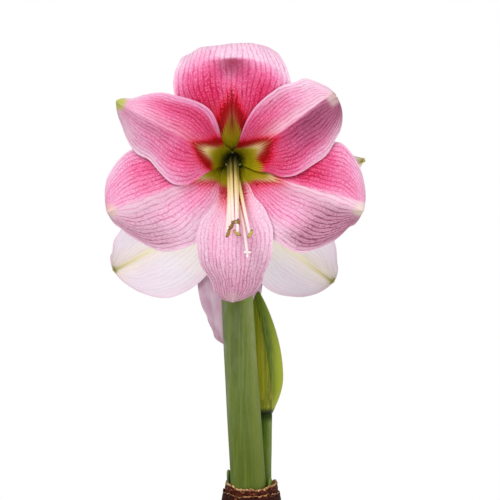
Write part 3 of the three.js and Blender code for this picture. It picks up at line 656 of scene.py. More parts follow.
def effect(name, inputs, outputs):
    """An empty shader group: its tree, its input sockets and its output sockets by name."""
    tree = bpy.data.node_groups.new(name, "ShaderNodeTree")
    for label, value in inputs.items():
        kind = "Color" if isinstance(value, str) else "Float"
        socket = tree.interface.new_socket(label, in_out="INPUT", socket_type=f"NodeSocket{kind}")
        socket.default_value = tint(value) if isinstance(value, str) else value
    for label, kind in outputs.items():
        tree.interface.new_socket(label, in_out="OUTPUT", socket_type=f"NodeSocket{kind}")
    return tree, tree.nodes.new("NodeGroupInput").outputs, tree.nodes.new("NodeGroupOutput").inputs


def placed(tree, group, **values):
    """Places a shader group in a tree, feeds its inputs by name, and returns its output sockets."""
    made = tree.nodes.new("ShaderNodeGroup")
    made.node_tree = group
    for label, value in values.items():
        feed(made.inputs[label.replace("_", " ")], value)
    return made.outputs


def waxy_skin():
    """Group: green skin with fibres that run up the plant, paler flecks and a thin grey wax in patches."""
    inputs = {"Deep": "#4f6226", "Fresh": "#7b8a42", "Wax": "#a3ab8c", "Wax Amount": 0.4, "Streaks": 1.0}
    outputs = {"Colour": "Color", "Height": "Float", "Wax": "Float"}
    tree, given, out = effect("waxy_green_skin", inputs, outputs)
    at = here(tree)
    streak = clouds(stretched(at, (1, 1, 0.035)), 520, 3, 0.6)
    broad = clouds(stretched(at, (1, 1, 0.12)), 90, 3, 0.5)
    flecks = clouds(stretched(at, (1, 1, 0.3)), 1500, 2, 0.6)
    mixing = maths("MULTIPLY_ADD", maths("SUBTRACT", streak, 0.5), given["Streaks"], broad)
    colour = blended(rise(mixing, 0.3, 0.72), given["Deep"], given["Fresh"])
    patches = rise(clouds(stretched(at, (1, 1, 0.5)), 130, 5, 0.62), 0.35, 0.7)
    wax = maths("MULTIPLY", maths("MULTIPLY_ADD", patches, 0.7, 0.3), given["Wax Amount"], clamp=True)
    colour = blended(wax, colour, given["Wax"])
    colour = blended(rise(flecks, 0.66, 0.74, 0, 0.25), colour, given["Wax"])
    feed(out["Colour"], colour)
    feed(out["Height"], maths("MULTIPLY_ADD", flecks, 0.3, streak))
    feed(out["Wax"], wax)
    return tree


WAXY_SKIN = waxy_skin()


def stalk_finish(name, deep, fresh, edge, wax, amount, joint):
    """Reed skin: olive down the middle, greyer towards its two narrow sides with the wax and a painted sheen,
    and lighter on its right with painted light. `joint` darkens its top, where the bud shades it."""
    finish, tree = new_finish(name)
    side, along = mark(tree, "side"), mark(tree, "along")
    # greyer towards both narrow sides: the wax, with a painted sheen where the surface turns away
    wax_and_sheen = rise(maths("ABSOLUTE", side), 0.5, 1.0)
    more = times(maths("MULTIPLY_ADD", wax_and_sheen, 0.65, amount), rise(along, 0.1, 0.8, 0.25, 1.0))
    skin_of = placed(tree, WAXY_SKIN, Deep=deep, Fresh=fresh, Wax=wax, Wax_Amount=more)
    # painted light: the right side lighter, towards the edge colour
    lit = rise(side, 0.1, 0.95, 0, 0.5)
    colour = blended(lit, skin_of["Colour"], edge)
    colour = blended(rise(along, 0.75, 0.1, 0, 0.45), colour, "#49590c")
    colour = blended(times(rise(along, 0.9, 0.98), joint), colour, "#1c3002")
    roughness = rise(skin_of["Wax"], 0.0, 0.8, 0.42, 0.6)
    shade(tree, colour, roughness, skin_of["Height"], bump=(0.35, 0.0003), Specular_IOR_Level=0.06)
    return finish


STALK_COLOURS = {
    "flower_scape": ("#5a6b28", "#728236", "#8c994a", "#9aa486", 0.25, 0.0),
    "bud_scape": ("#3a5200", "#567200", "#7e9236", "#a9b394", 0.02, 0.9),
}
for name, shape in STALKS.items():
    slot = "scape" if name == "flower_scape" else "bud_scape"
    settle(stalk_mesh(f"{name}_reed", **shape), stalk_finish(name, *STALK_COLOURS[name]), slot, name)

# Leaf tips: two young strap leaves, thick and blunt, that have just cleared the neck beside the stalks.

LEAVES = {
    "left": {"foot": (-14.4, 1.5, 160), "top": (-16.4, 1.5, 199), "width": 11, "thickness": 3.2, "turn": 84},
    "right": {"foot": (17.9, -5, 160), "top": (18.4, -5, 193.5), "width": 11, "thickness": 3.2, "turn": 80},
}
LEAF_END = 9  # length over which a leaf's end rounds off
LEAF_MESH = {"rows": 26, "sides": 72}  # as many rows up the leaf as over its end


def leaf_mesh(name, foot, top, width, thickness, turn):
    """Oval sections up the leaf, ribbed lengthwise. Over its rounded end their width shrinks by
    sqrt(1 - 0.97 x^2) and their thickness, later, by sqrt(1 - 0.96 x^7)."""
    foot, top = np.array(foot, float), np.array(top, float)
    share = LEAF_END / (top[2] - foot[2])
    rounding = 1 - share * np.cos(np.linspace(0, np.pi / 2, LEAF_MESH["rows"]))
    u = np.concatenate([np.linspace(0, 1 - share, LEAF_MESH["rows"])[:-1], rounding])[:, None]
    ending = np.clip((u - 1 + share) / share, 0, 1)
    narrow, blunt = np.sqrt(1 - 0.97 * ending**2), np.sqrt(1 - 0.96 * ending**7)
    angle = around(LEAF_MESH["sides"])
    wide = np.array([np.cos(np.radians(turn)), np.sin(np.radians(turn)), 0])
    deep = np.array([-wide[1], wide[0], 0])
    across, through = width / 2 * narrow * np.cos(angle), thickness / 2 * blunt * np.sin(angle)
    groove = 0.25 * np.sin(angle) * bell(np.cos(angle), 0.25) * narrow
    through = through * (1 + 0.05 * np.cos(16 * angle)) - groove
    grid = (foot + (top - foot) * u)[:, None] + across[..., None] * wide + through[..., None] * deep
    return skin(name, grid, sharp=60, along=u)


def leaf_finish():
    """Leaf skin: deep green, fresher towards the blunt end."""
    finish, tree = new_finish("leaf_skin")
    skin_of = placed(tree, WAXY_SKIN, Deep="#2f4a12", Fresh="#5b7a26", Wax="#9fae6c", Wax_Amount=0.15)
    colour = blended(rise(mark(tree, "along"), 0.8, 1.0, 0, 0.6), skin_of["Colour"], "#6f8a2c")
    shade(tree, colour, 0.38, skin_of["Height"], bump=(0.3, 0.0003), Specular_IOR_Level=0.25)
    return finish


LEAF_SKIN = leaf_finish()
for side, shape in LEAVES.items():
    settle(leaf_mesh(f"leaf_{side}", **shape), LEAF_SKIN, "leaf", f"leaf_tip_{side}")

# Bud: two boat-shaped spathe valves closed over the young flowers. The right one overlaps the left along a
# slanting, bowed seam; the left is olive and the right a deep green that brightens to its outer edge.

BUD = {
    "height": 103, "radius": 18.8, "flatness": 0.74, "lean": (-2, 3),
    "widest": 0.3, "taper": 0.84, "gap": 0.3,
}
BUD_SEAM = {"bottom": 20.2, "sweep": 16.4, "overlap": 0.6, "under": 1.4}
BUD_RIBS = 15
VALVE_GRID = (130, 90)


def valve_mesh(name, left):
    """One valve: level sections of the bud's ellipse, kept on one side of the seam and closed by a straight
    cut.

    The bud's radius rises as a sine to its widest height and falls as a power of a cosine above. A
    section's arc runs round from the seam and back to it, and its edge there is rolled in slightly.
    """
    u = 1 - (1 - np.linspace(0, 1, VALVE_GRID[0])) ** 1.4
    grow, gap = (0, BUD_SEAM["under"]) if left else (BUD_SEAM["overlap"], BUD["gap"] / 2)
    top_x, top_y, top_z = STALKS["bud_scape"]["top"]
    foot = STALKS["bud_scape"]["top_radius"] / BUD["radius"]
    below = np.clip(u / BUD["widest"], 0, 1)
    above = np.clip((u - BUD["widest"]) / (1 - BUD["widest"]), 0, 1)
    swell = (foot + (1 - foot) * np.sin(np.pi / 2 * below)) * np.cos(np.pi / 2 * above) ** BUD["taper"]
    radius = BUD["radius"] * np.maximum(swell, 0.025) + grow
    x, y = top_x + BUD["lean"][0] * u * u, top_y + BUD["lean"][1] * u * u
    z = top_z + BUD["gap"] + BUD["height"] * u
    h = (z - top_z) / BUD["height"]
    seam = BUD_SEAM["bottom"] - BUD_SEAM["sweep"] * h * np.abs(h) + gap
    cut = np.clip((seam - x) / radius, -1, 1)
    kept = cut > -0.985 if left else cut < 0.985
    u, radius, x, y, z, cut = (value[kept][:, None] for value in (u, radius, x, y, z, cut))
    half = np.arccos(np.clip(cut, -0.9995, 0.9995))
    first, last = (half, 2 * np.pi - half) if left else (-half, half)
    across = np.linspace(0, 1, VALVE_GRID[1])
    angle = first + (last - first) * (across + 0.035 * np.sin(4 * np.pi * across) / 2)
    from_edge = np.minimum(angle - first, last - angle) * radius
    ribs = 0.11 * np.cos(2 * BUD_RIBS * (angle - np.pi)) * smoothed(u, 0.03, 0.2)
    keel = 0.5 * bell(angle - (np.pi if left else 0), 0.12) * smoothed(u, 0.1, 0.4)
    rolled_in = 0 if left else 0.3 * bell(from_edge, 0.5)
    reach = radius + ribs + keel * (0.6 if left else 0.2) - rolled_in
    px, py = x + reach * np.cos(angle), y + reach * BUD["flatness"] * np.sin(angle)
    back = np.linspace(0, 1, 14)[1:-1]
    cx, cy = px[:, -1:] + (px[:, :1] - px[:, -1:]) * back, py[:, -1:] + (py[:, :1] - py[:, -1:]) * back
    level = np.broadcast_to(z, (len(z), len(across) + len(back)))
    grid = np.stack([np.hstack([px, cx]), np.hstack([py, cy]), level], -1)
    edge = np.hstack([np.exp(-from_edge / 1.6), np.ones_like(cx)])
    return skin(name, grid, sharp=45, along=u, side=(grid[..., 0] - x) / radius, edge=edge)


def valve_finish(name, deep, fresh, outer, outer_from):
    """Spathe skin: fine ribs, painted shade at its foot on the stalk, and a change of green towards one side.
    """
    finish, tree = new_finish(name)
    skin_of = placed(tree, WAXY_SKIN, Deep=deep, Fresh=fresh, Wax="#b4b85e", Wax_Amount=0.06, Streaks=1.4)
    side, along = mark(tree, "side"), mark(tree, "along")
    outwards = rise(side, *outer_from)
    colour = blended(outwards, skin_of["Colour"], outer)
    colour = blended(rise(along, 0.42, 0.95, 0, 0.7), colour, deep)
    # painted shade: the foot darkens almost to black in the joint where the bud sits on its stalk
    colour = blended(rise(along, 0.06, 0.01, 0, 0.95), colour, "#162402")
    seam = times(rise(mark(tree, "edge"), 0.35, 1.0), rise(along, 0.35, 0.1), 0.7)
    colour = blended(seam, colour, "#c0a878")
    shade(tree, colour, 0.42, skin_of["Height"], bump=(0.3, 0.0003), Specular_IOR_Level=0.22)
    return finish


settle(
    valve_mesh("bud_valve_left_skin", True),
    valve_finish("olive_valve", "#6a760a", "#aaa812", "#8c8e0c", (0.6, -0.4)),
    "bud_olive", "bud_valve_left",
)
settle(
    valve_mesh("bud_valve_right_skin", False),
    valve_finish("green_valve", "#4f6606", "#76880e", "#a5b02c", (0.45, 0.95)),
    "bud_green", "bud_valve_right",
)

# Spathe bracts: the two papery valves that once closed the open umbel. They withered, split away below the
# pedicels and hang down the scape, brown and see-through thin, with their edges curled and puckered.

BRACT = {"length": 46, "half_angle": 62, "thickness": 0.5, "droop": 9}
BRACT_AZIMUTHS = {"front": -70, "back": 118}
BRACT_GRID = (72, 49)


def blade(name, middle, thickness, sharp=50, **marks):
    """A thin closed blade about a middle surface (rows along it, columns across it): half the thickness to
    each side along the surface's normal. The mark `inner` is 1 on the face that the normal points to."""
    along, across = np.gradient(middle, axis=0), np.gradient(middle, axis=1)
    normal = np.cross(along, across)
    normal *= (thickness / 2)[..., None] / np.linalg.norm(normal, axis=-1, keepdims=True)
    loop = np.concatenate([middle + normal, (middle - normal)[:, ::-1]], 1)
    doubled = {key: np.concatenate([value, value[:, ::-1]], 1) for key, value in marks.items()}
    inner = np.repeat([1.0, 0.0], middle.shape[1])[None]
    return skin(name, loop, ends="strip", sharp=sharp, inner=inner, **doubled)


def sheet(grid, power):
    """Shares along a blade, 0 to 1 and closer together towards its end, and places across it, -1 to 1."""
    along, across = np.linspace(0, 1, grid[0]), np.linspace(-1, 1, grid[1])
    return np.meshgrid(1 - (1 - along) ** power, across, indexing="ij")


def bract_mesh(name, azimuth):
    """A withered valve: it leaves the scape's top, hugs it, and stands off by a square law, with puckers."""
    stalk = STALKS["flower_scape"]
    line, _ = centreline([stalk["foot"], np.add(stalk["foot"], stalk["top"]) / 2, stalk["top"]], 150)
    s, t = sheet(BRACT_GRID, 1.3)
    spread = np.maximum(np.radians(BRACT["half_angle"]) * (1 - s) ** 0.7, 0.04)
    angle = np.radians(azimuth) + t * spread
    z = stalk["top"][2] - 1.5 - BRACT["length"] * s
    x, y = (np.interp(z, line[:, 2], line[:, k]) for k in (0, 1))
    clearance = 1.2 + BRACT["droop"] * s * s + 1.3 * s * np.cos(3 * t)
    pucker = 0.25 * np.sin(17 * t + 5 * np.sin(4 * s)) + 0.3 * s * np.sin(9 * s + 6 * t * s)
    clearance = clearance + (pucker + 0.5 * s * np.abs(t) ** 3) * smoothed(s, 0.05, 0.3)
    wide, deep = stalk["top_radius"] + clearance, stalk["top_radius"] * STALK_FLATNESS + clearance
    middle = np.stack([x + wide * np.cos(angle), y + deep * np.sin(angle), z], -1)
    return blade(name, middle, BRACT["thickness"] * (1 - 0.4 * np.abs(t)), along=s, across=t)


def bract_finish():
    """Withered spathe: straw with rust-brown fibres and a pink cast that is left near its foot."""
    finish, tree = new_finish("withered_spathe")
    at, along = here(tree), mark(tree, "along")
    fibre = clouds(stretched(at, (1, 1, 0.07)), 480, 4, 0.65)
    colour = ramp(fibre, (0.3, "#8a5c3e"), (0.5, "#c39a74"), (0.7, "#dcc3a0"))
    colour = blended(rise(along, 0.45, 0.0, 0, 0.5), colour, "#c8a08c")
    colour = blended(rise(along, 0.7, 1.0, 0, 0.7), colour, "#7b4a2c")
    edge = rise(maths("ABSOLUTE", mark(tree, "across")), 0.85, 1.0, 0, 0.5)
    colour = blended(edge, colour, "#6f4228")
    shade(tree, colour, 0.62, fibre, bump=(0.5, 0.0005), Sheen_Weight=0.2)
    return finish


SPATHE = bract_finish()
for side, azimuth in BRACT_AZIMUTHS.items():
    settle(bract_mesh(f"bract_{side}", azimuth), SPATHE, "bract", f"spathe_bract_{side}")

# Pedicels: each bloom stands on a short stout stalk that bends over and swells into a three-lobed ovary.
# Skin like the scape's, brighter and less waxy.

PEDICEL = {"root": 5, "end": 4.7, "rows": 110, "sides": 72}
OVARY = {"length": 15, "radius": 8.2, "lobing": 0.07}
SEAT = 0.3  # clearance between a piece and what carries it
BLOOMS = {
    "front": {
        "base": (-12, -52, 458), "nod": 5, "heading": 0,
        "pedicel": [(-12.4, -12.6, 398.3), (-12.4, -13.5, 420), (-12.1, -19, 443)],
    },
    "rear": {
        "base": (-15, 50, 430), "nod": 14, "heading": 180,
        "pedicel": [(-12.4, -1.4, 398.3), (-12.8, 4, 414), (-14.2, 16, 428)],
    },
}


def bloom_axes(bloom):
    """Unit vectors out of a bloom's mouth, to its right and up, from its nod below level and its heading."""
    nod, turn = np.radians(bloom["nod"]), np.radians(bloom["heading"])
    about = np.array([[np.cos(turn), -np.sin(turn), 0], [np.sin(turn), np.cos(turn), 0], [0, 0, 1]])
    out, right, up = (0, -np.cos(nod), -np.sin(nod)), (1, 0, 0), (0, -np.sin(nod), np.cos(nod))
    return np.array([about @ axis for axis in (out, right, up)])


def in_bloom(bloom, out, across, up):
    """Points given in mm out of a bloom's ovary, across it and up."""
    place = np.stack(np.broadcast_arrays(np.asarray(out, float) + SEAT, across, up), -1)
    return np.array(bloom["base"], float) + place @ bloom_axes(bloom)


def pedicel_mesh(name, bloom):
    """A round stalk whose radius swells by a sine over the ovary's length, with three lobes there."""
    base = np.array(bloom["base"], float)
    foot = base - OVARY["length"] * bloom_axes(bloom)[0]
    line, slope = centreline([*bloom["pedicel"], foot, base], PEDICEL["rows"])
    length = np.linalg.norm(np.diff(line, axis=0), axis=1).sum()
    u = np.linspace(0, 1, len(line))
    share = OVARY["length"] / length
    swell = np.sin(np.pi * np.clip((u - 1 + share) / share, 0, 0.86))
    plain = PEDICEL["root"] + (PEDICEL["end"] - PEDICEL["root"]) * u
    angle = around(PEDICEL["sides"])
    lobes = OVARY["lobing"] * swell[:, None] * np.cos(3 * angle) + 0.008 * np.cos(18 * angle)
    grid = pipe(line, slope, plain + (OVARY["radius"] - plain) * swell, len(angle), 1, lobes)
    grid[..., 2] = np.maximum(grid[..., 2], STALKS["flower_scape"]["top"][2] + SEAT)
    return skin(name, grid, sharp=60, along=u[:, None], side=np.cos(3 * angle)[None])


def pedicel_finish():
    """Fresh green, paler on the ovary's lobes, faintly flushed with red-brown at the foot."""
    finish, tree = new_finish("pedicel_skin")
    along = mark(tree, "along")
    skin_of = placed(tree, WAXY_SKIN, Deep="#5d7a24", Fresh="#8aa64a", Wax="#b7c383", Wax_Amount=0.2)
    colour = blended(rise(along, 0.12, 0.0, 0, 0.5), skin_of["Colour"], "#8a6a4a")
    lobe = times(rise(mark(tree, "side"), -0.2, 1.0, 0, 0.5), rise(along, 0.7, 0.85))
    colour = blended(lobe, colour, "#a3bb62")
    shade(tree, colour, 0.4, skin_of["Height"], bump=(0.3, 0.0003), Specular_IOR_Level=0.25)
    return finish


PEDICEL_SKIN = pedicel_finish()
for side, bloom in BLOOMS.items():
    settle(pedicel_mesh(f"pedicel_{side}_skin", bloom), PEDICEL_SKIN, "pedicel", f"pedicel_{side}")

# Tepals: six to a bloom, three outer and three inner, all lining one funnel that leans out from its axis and
# curls back at the mouth. Each is a thin satin blade with a keeled midrib, some twenty veins from claw to tip
# with a net between them, a yellow-green claw, crimson beside it, and a white back with a green midrib.

TUBE = {"radius": 6.5, "layer": 0.85, "cover": np.radians(52)}
WIDEST_COVER = np.radians(58)
FUNNEL = {
    "tube": 14, "flare": 76, "above": 4, "tube_end": 18, "mouth": 66,
    "curl": 14, "curl_from": 85, "curl_over": 50,
}
TEPAL = {"rib": 0.9, "rim": 0.42, "tip": 0.8}
LOBE = {"at": 0.4, "span": 0.13}
INNER_WHORL = {"layer": 2.8, "arch": 3, "ridge": 1.4}
OUTER_WHORL = {"layer": -1.3, "arch": 0, "ridge": 2.4}
EDGE_CURL = 5
BACK_RIB = {"height": 0.9, "half_width": 1.5}  # the midrib that stands out of a tepal's back
PLEAT = 0.08  # height of the pleats between veins

# Each tepal's azimuth seen from the front of its bloom, its length, its half widths clockwise and
# anticlockwise of the midrib, where it is widest, how blunt its end is, and how far its edge waves. "margin"
# holds the places where its outline leaves that template: side (1 anticlockwise), share of its reach, span,
# mm. "folds" holds its swells and hollows: share of its length, place across, their spans, mm towards the
# mouth.
FRONT_TEPALS = {
    "top": {
        "outer": True, "azimuth": 90.5, "length": 136, "cw": 46, "ccw": 48, "widest": 0.7, "blunt": 0.36,
        "roll": 118, "roll_from": 85, "wave": 1.2,
        "margin": [(-1, 0.64, 0.12, 4), (-1, 0.92, 0.06, 4), (1, 0.92, 0.06, 5), (1, 0.8, 0.03, -1.2),
                   (1, 0.66, 0.1, 1)],
        "folds": [(0.66, 0.02, 0.05, 0.2, -2.2), (0.5, 0, 0.16, 0.16, -1.2), (0.56, -0.5, 0.12, 0.22, 1.3),
                  (0.54, 0.5, 0.12, 0.2, 1.2), (0.6, 0.82, 0.1, 0.12, -1.0)],
    },
    "upper_left": {
        "azimuth": 150.5, "length": 124, "cw": 26, "ccw": 34, "widest": 0.57, "blunt": 0.9,
        "wave": 1.8, "lobe": 9,
        "margin": [(-1, 0.46, 0.19, 7), (-1, 0.75, 0.05, 1), (-1, 0.9, 0.06, -3.5), (1, 0.88, 0.06, -2),
                   (1, 0.64, 0.07, -4.5), (1, 0.5, 0.05, 2), (1, 0.35, 0.08, -2)],
        "folds": [(0.68, 0.3, 0.16, 0.13, -1.6), (0.72, -0.15, 0.14, 0.25, 1.4), (0.5, 0.72, 0.09, 0.16, 1.8),
                  (0.55, 0.48, 0.08, 0.08, -1.3), (0.45, -0.6, 0.15, 0.2, 1.0)],
    },
    "upper_right": {
        "azimuth": 34, "length": 118, "cw": 39.5, "ccw": 31, "widest": 0.62, "blunt": 0.5, "wave": 1.2,
        "margin": [(1, 0.9, 0.05, 4), (1, 0.76, 0.08, 1.5), (-1, 0.85, 0.06, -2.5), (-1, 0.66, 0.1, -2.5),
                   (-1, 0.32, 0.07, -2.5)],
        "folds": [(0.75, 0.02, 0.2, 0.1, 1.6), (0.72, -0.28, 0.2, 0.16, -1.6), (0.5, 0.55, 0.14, 0.2, 1.0),
                  (0.88, 0.5, 0.06, 0.2, -1.2)],
    },
    "lower_left": {
        "outer": True, "azimuth": 200, "length": 126, "cw": 40, "ccw": 53, "widest": 0.72,
        "blunt": 0.66, "wave": 1.5,
        "margin": [(-1, 0.95, 0.05, 2.5), (1, 0.975, 0.03, -8), (1, 0.91, 0.05, -6), (1, 0.76, 0.08, -2)],
        "folds": [(0.7, 0.3, 0.2, 0.2, -1.2), (0.8, 0.62, 0.08, 0.12, -1.5), (0.62, -0.5, 0.2, 0.25, 1.2)],
    },
    "lower_right": {
        "outer": True, "azimuth": -18.6, "length": 130, "cw": 51, "ccw": 43, "widest": 0.74,
        "blunt": 0.62, "wave": 1.5,
        "margin": [(1, 0.8, 0.06, 3), (1, 0.97, 0.03, -1.5), (-1, 0.965, 0.04, -11), (-1, 0.89, 0.04, -4),
                   (-1, 0.78, 0.04, 1)],
        "folds": [(0.7, -0.28, 0.2, 0.2, -1.2), (0.72, -0.66, 0.14, 0.12, 1.2), (0.6, 0.5, 0.2, 0.25, 1.2)],
    },
    "bottom": {
        "azimuth": 270, "length": 129, "cw": 28, "ccw": 33, "widest": 0.62, "blunt": 0.5,
        "wave": 1.4, "crimp": 1.3,
        "margin": [(-1, 0.3, 0.08, -5), (-1, 0.4, 0.05, -2), (-1, 0.58, 0.08, 1.5), (-1, 0.86, 0.07, -5),
                   (1, 0.3, 0.06, -2), (1, 0.55, 0.06, 1), (1, 0.82, 0.05, -2.5)],
        "folds": [(0.62, 0, 0.05, 0.3, 1.6), (0.45, 0, 0.12, 0.3, -1.4), (0.78, 0.35, 0.12, 0.12, 0.9),
                  (0.78, -0.4, 0.12, 0.12, 0.9)],
    },
}
REAR_TEPALS = {
    "top": {
        "outer": True, "azimuth": 93, "length": 126, "cw": 43, "ccw": 43, "widest": 0.68,
        "blunt": 0.6, "wave": 1.6,
        "margin": [(1, 0.85, 0.06, -2), (-1, 0.9, 0.05, 1.5)], "folds": [(0.7, 0.45, 0.15, 0.2, 1.2)],
    },
    "upper_left": {
        "azimuth": 159.5, "length": 150, "cw": 28, "ccw": 29, "widest": 0.52, "blunt": 1, "wave": 1.6,
        "margin": [(-1, 0.7, 0.05, -2), (1, 0.6, 0.06, 2)], "folds": [(0.6, 0.4, 0.15, 0.2, -1.2)],
    },
    "upper_right": {
        "azimuth": 34, "length": 121, "cw": 35, "ccw": 31, "widest": 0.6, "blunt": 0.8, "wave": 1.6,
        "margin": [(1, 0.75, 0.05, 2), (-1, 0.8, 0.05, -2)], "folds": [(0.65, -0.4, 0.15, 0.2, 1.2)],
    },
    "lower_left": {
        "outer": True, "azimuth": 216, "length": 136, "cw": 36, "ccw": 42, "widest": 0.7,
        "blunt": 0.62, "wave": 1.5,
        "margin": [(1, 0.85, 0.06, -1.5), (-1, 0.93, 0.05, -3.5)], "folds": [(0.7, -0.4, 0.15, 0.2, 1.2)],
    },
    "lower_right": {
        "outer": True, "azimuth": -28, "length": 142, "cw": 51, "ccw": 38, "widest": 0.68,
        "blunt": 0.6, "wave": 1.5,
        "margin": [(1, 0.95, 0.03, -4), (1, 0.85, 0.06, -3), (-1, 0.85, 0.08, 3)],
        "folds": [(0.72, 0.35, 0.15, 0.2, 1.0)],
    },
    "bottom": {
        "azimuth": 270.5, "length": 150, "cw": 30, "ccw": 31, "widest": 0.52, "blunt": 0.9,
        "wave": 1.3, "crimp": 1.8,
        "margin": [(1, 0.78, 0.03, -1.5), (1, 0.93, 0.04, 3.5)], "folds": [(0.8, 0.3, 0.1, 0.15, -1.5)],
    },
}
TEPAL_GRID = {"front": (100, 101), "rear": (82, 83)}


def rolled_share(along, tepal, t=0.0):
    """How far a point has come, from 0 to 1, into the part of a tepal that rolls back. A rolled tepal turns
    later on its clockwise side and in two swells, which give its crest its shoulders."""
    swells = 3.5 * bell(t - 0.68, 0.13) + 3.5 * bell(t + 0.5, 0.2)
    start = tepal.get("roll_from", 1e6) - 2.5 * t + swells
    return np.clip((along - start) / np.abs(tepal["length"] - start), 0, 1)


def wall_angle(along, azimuth, tepal, roll, t=0.0):
    """Angle between the funnel's wall and the bloom's axis: a straight tube, an opening, a curl past the
    mouth, and the tepal's own roll."""
    opening = np.clip((along - FUNNEL["tube_end"]) / (FUNNEL["mouth"] - FUNNEL["tube_end"]), 0, 1) ** 0.85
    curl = FUNNEL["curl"] * np.clip((along - FUNNEL["curl_from"]) / FUNNEL["curl_over"], 0, 2) ** 1.5
    flare = FUNNEL["flare"] + FUNNEL["above"] * np.sin(azimuth)
    rolled = roll * rolled_share(along, tepal, t) ** 1.3
    return np.radians(FUNNEL["tube"] + (flare - FUNNEL["tube"]) * opening + curl + rolled)


def wall_point(along, azimuth, tepal, roll=0, t=0.0):
    """Distance from the axis and along it of points `along` mm up the wall: the sums of the wall angle's
    sine and cosine over forty equal steps."""
    steps = 40
    mid = along[..., None] * (np.arange(steps) + 0.5) / steps
    angle = wall_angle(mid, np.asarray(azimuth)[..., None], tepal, roll, np.asarray(t)[..., None])
    radius = TUBE["radius"] + along * np.sin(angle).mean(-1)
    return radius, along * np.cos(angle).mean(-1), wall_angle(along, azimuth, tepal, roll, t)


def half_width(tepal, t, reach):
    """Half width of a tepal that has come `reach` of its way out: a sine that rises from the claw, times a
    rounded end, a lobe on one margin where it has one, and a bell for each place where its outline leaves
    the template."""
    rising = np.sin(np.pi / 2 * np.clip(reach / tepal["widest"], 0, 1) ** 1.1)
    end = np.clip((reach - tepal["widest"]) / (1 - tepal["widest"]), 0, 1)
    full = np.where(t > 0, tepal["ccw"], tepal["cw"])
    lobe = np.where(t > 0, tepal.get("lobe", 0), 0) * bell(reach - LOBE["at"], LOBE["span"])
    width = full * rising * (1 - end * end) ** tepal["blunt"] + lobe
    for side, place, span, change in tepal.get("margin", ()):
        fading = np.where(t * side > 0, change, 0) * smoothed(reach, 1, 0.94)
        width = width + fading * bell(reach - place, span)
    return np.maximum(TEPAL["tip"], width)


def off_wall(tepal, s, t, along):
    """Height of a tepal's middle off the funnel's wall: its whorl's layer, keel, arch, edge curl and edge
    waves, and finer than the CAD solid's, a crest on the midrib, its folds, low dimples, pleats between the
    veins, a frilled margin and a crimped end."""
    whorl = OUTER_WHORL if tepal.get("outer") else INNER_WHORL
    in_tube = -TUBE["layer"] if tepal.get("outer") else TUBE["layer"]
    open_part, free, flat = smoothed(s, 0.25, 0.55), smoothed(s, 0.6, 1), 1 - rolled_share(along, tepal)
    layer = in_tube + (whorl["layer"] - in_tube) * smoothed(along, 10, 60)
    crest = 0.5 * bell(t, 0.22) + 0.5 * np.exp(-(np.hypot(t, 0.025) - 0.025) / 0.13)
    keel = whorl["ridge"] * open_part * flat * crest
    arch = whorl["arch"] * open_part * (1 - t * t) - EDGE_CURL * free * flat * t * t
    wave = tepal["wave"] * free * np.abs(t) ** 3 * np.sin(2 * np.pi * (2.4 * s + tepal["azimuth"] / 30) + t)
    turn = tepal["azimuth"]
    dimples = 0.5 * np.sin(9 * s + 3.1 * t + turn) * np.cos(5.3 * t - 4 * s + 0.1 * turn)
    dimples = dimples + 0.2 * np.sin(21 * s - 8 * t + turn) * np.cos(13 * t + 7 * s)
    pleats = PLEAT * np.cos(2 * np.pi * 9 * t) * (0.7 + 0.3 * np.sin(7 * s + 5 * t))
    frill = 0.6 * np.abs(t) ** 6 * np.sin(38 * s + 0.3 * turn) + 0.3 * t**8 * np.sin(83 * s + turn)
    folds = sum(mm * bell(s - a, da) * bell(t - b, db) for a, b, da, db, mm in tepal.get("folds", ()))
    crimp = tepal.get("crimp", 0) * smoothed(s, 0.84, 0.98) * np.sin(9 * t + 1) * np.cos(2.5 * t)
    return layer + keel + arch + wave + (dimples + pleats) * open_part + free * frill + folds + crimp


def tepal_mesh(name, bloom, tepal, grid):
    """A tepal laid on the funnel's wall: its half angle is its half width over the radius reached, no less
    than the claw's cover and no more than the widest one, each crossing rounded. Its back carries the
    rib."""
    s, t = sheet(grid, 1.6)
    along, midrib = s * tepal["length"], np.radians(tepal["azimuth"])
    reached = wall_point(along, midrib, tepal)[0]
    width = half_width(tepal, t, reached / reached[-1:])
    cover = TUBE["cover"] * (1 - smoothed(along, 15, 55))
    spread = (width / reached + cover + np.hypot(width / reached - cover, 0.15 * cover)) / 2
    spread = (WIDEST_COVER + spread - np.hypot(WIDEST_COVER - spread, 0.05)) / 2
    azimuth, beside = midrib + t * spread, t * spread * reached
    radius, out, angle = wall_point(along, azimuth, tepal, tepal.get("roll", 0), t)
    rib = BACK_RIB["height"] * bell(beside, BACK_RIB["half_width"]) * smoothed(s, 0.2, 0.4) * (1 - 0.4 * s)
    off = off_wall(tepal, s, t, along) - rib / 2
    radius, out = radius - off * np.cos(angle), out + off * np.sin(angle)
    middle = in_bloom(bloom, out, radius * np.cos(azimuth), radius * np.sin(azimuth))
    thin = smoothed(np.maximum(np.abs(t), smoothed(s, 0.85, 1)), 0.35, 1) * smoothed(s, 0.2, 0.5)
    thickness = TEPAL["rib"] + (TEPAL["rim"] - TEPAL["rib"]) * thin + rib
    return blade(name, middle, thickness, sharp=70, along=s, across=t, reach=along, beside=beside)


def hump(value, width):
    """The bell curve exp(-(value / width)^2), in a shader."""
    share = maths("DIVIDE", value, width)
    return maths("EXPONENT", times(share, share, -1.0))


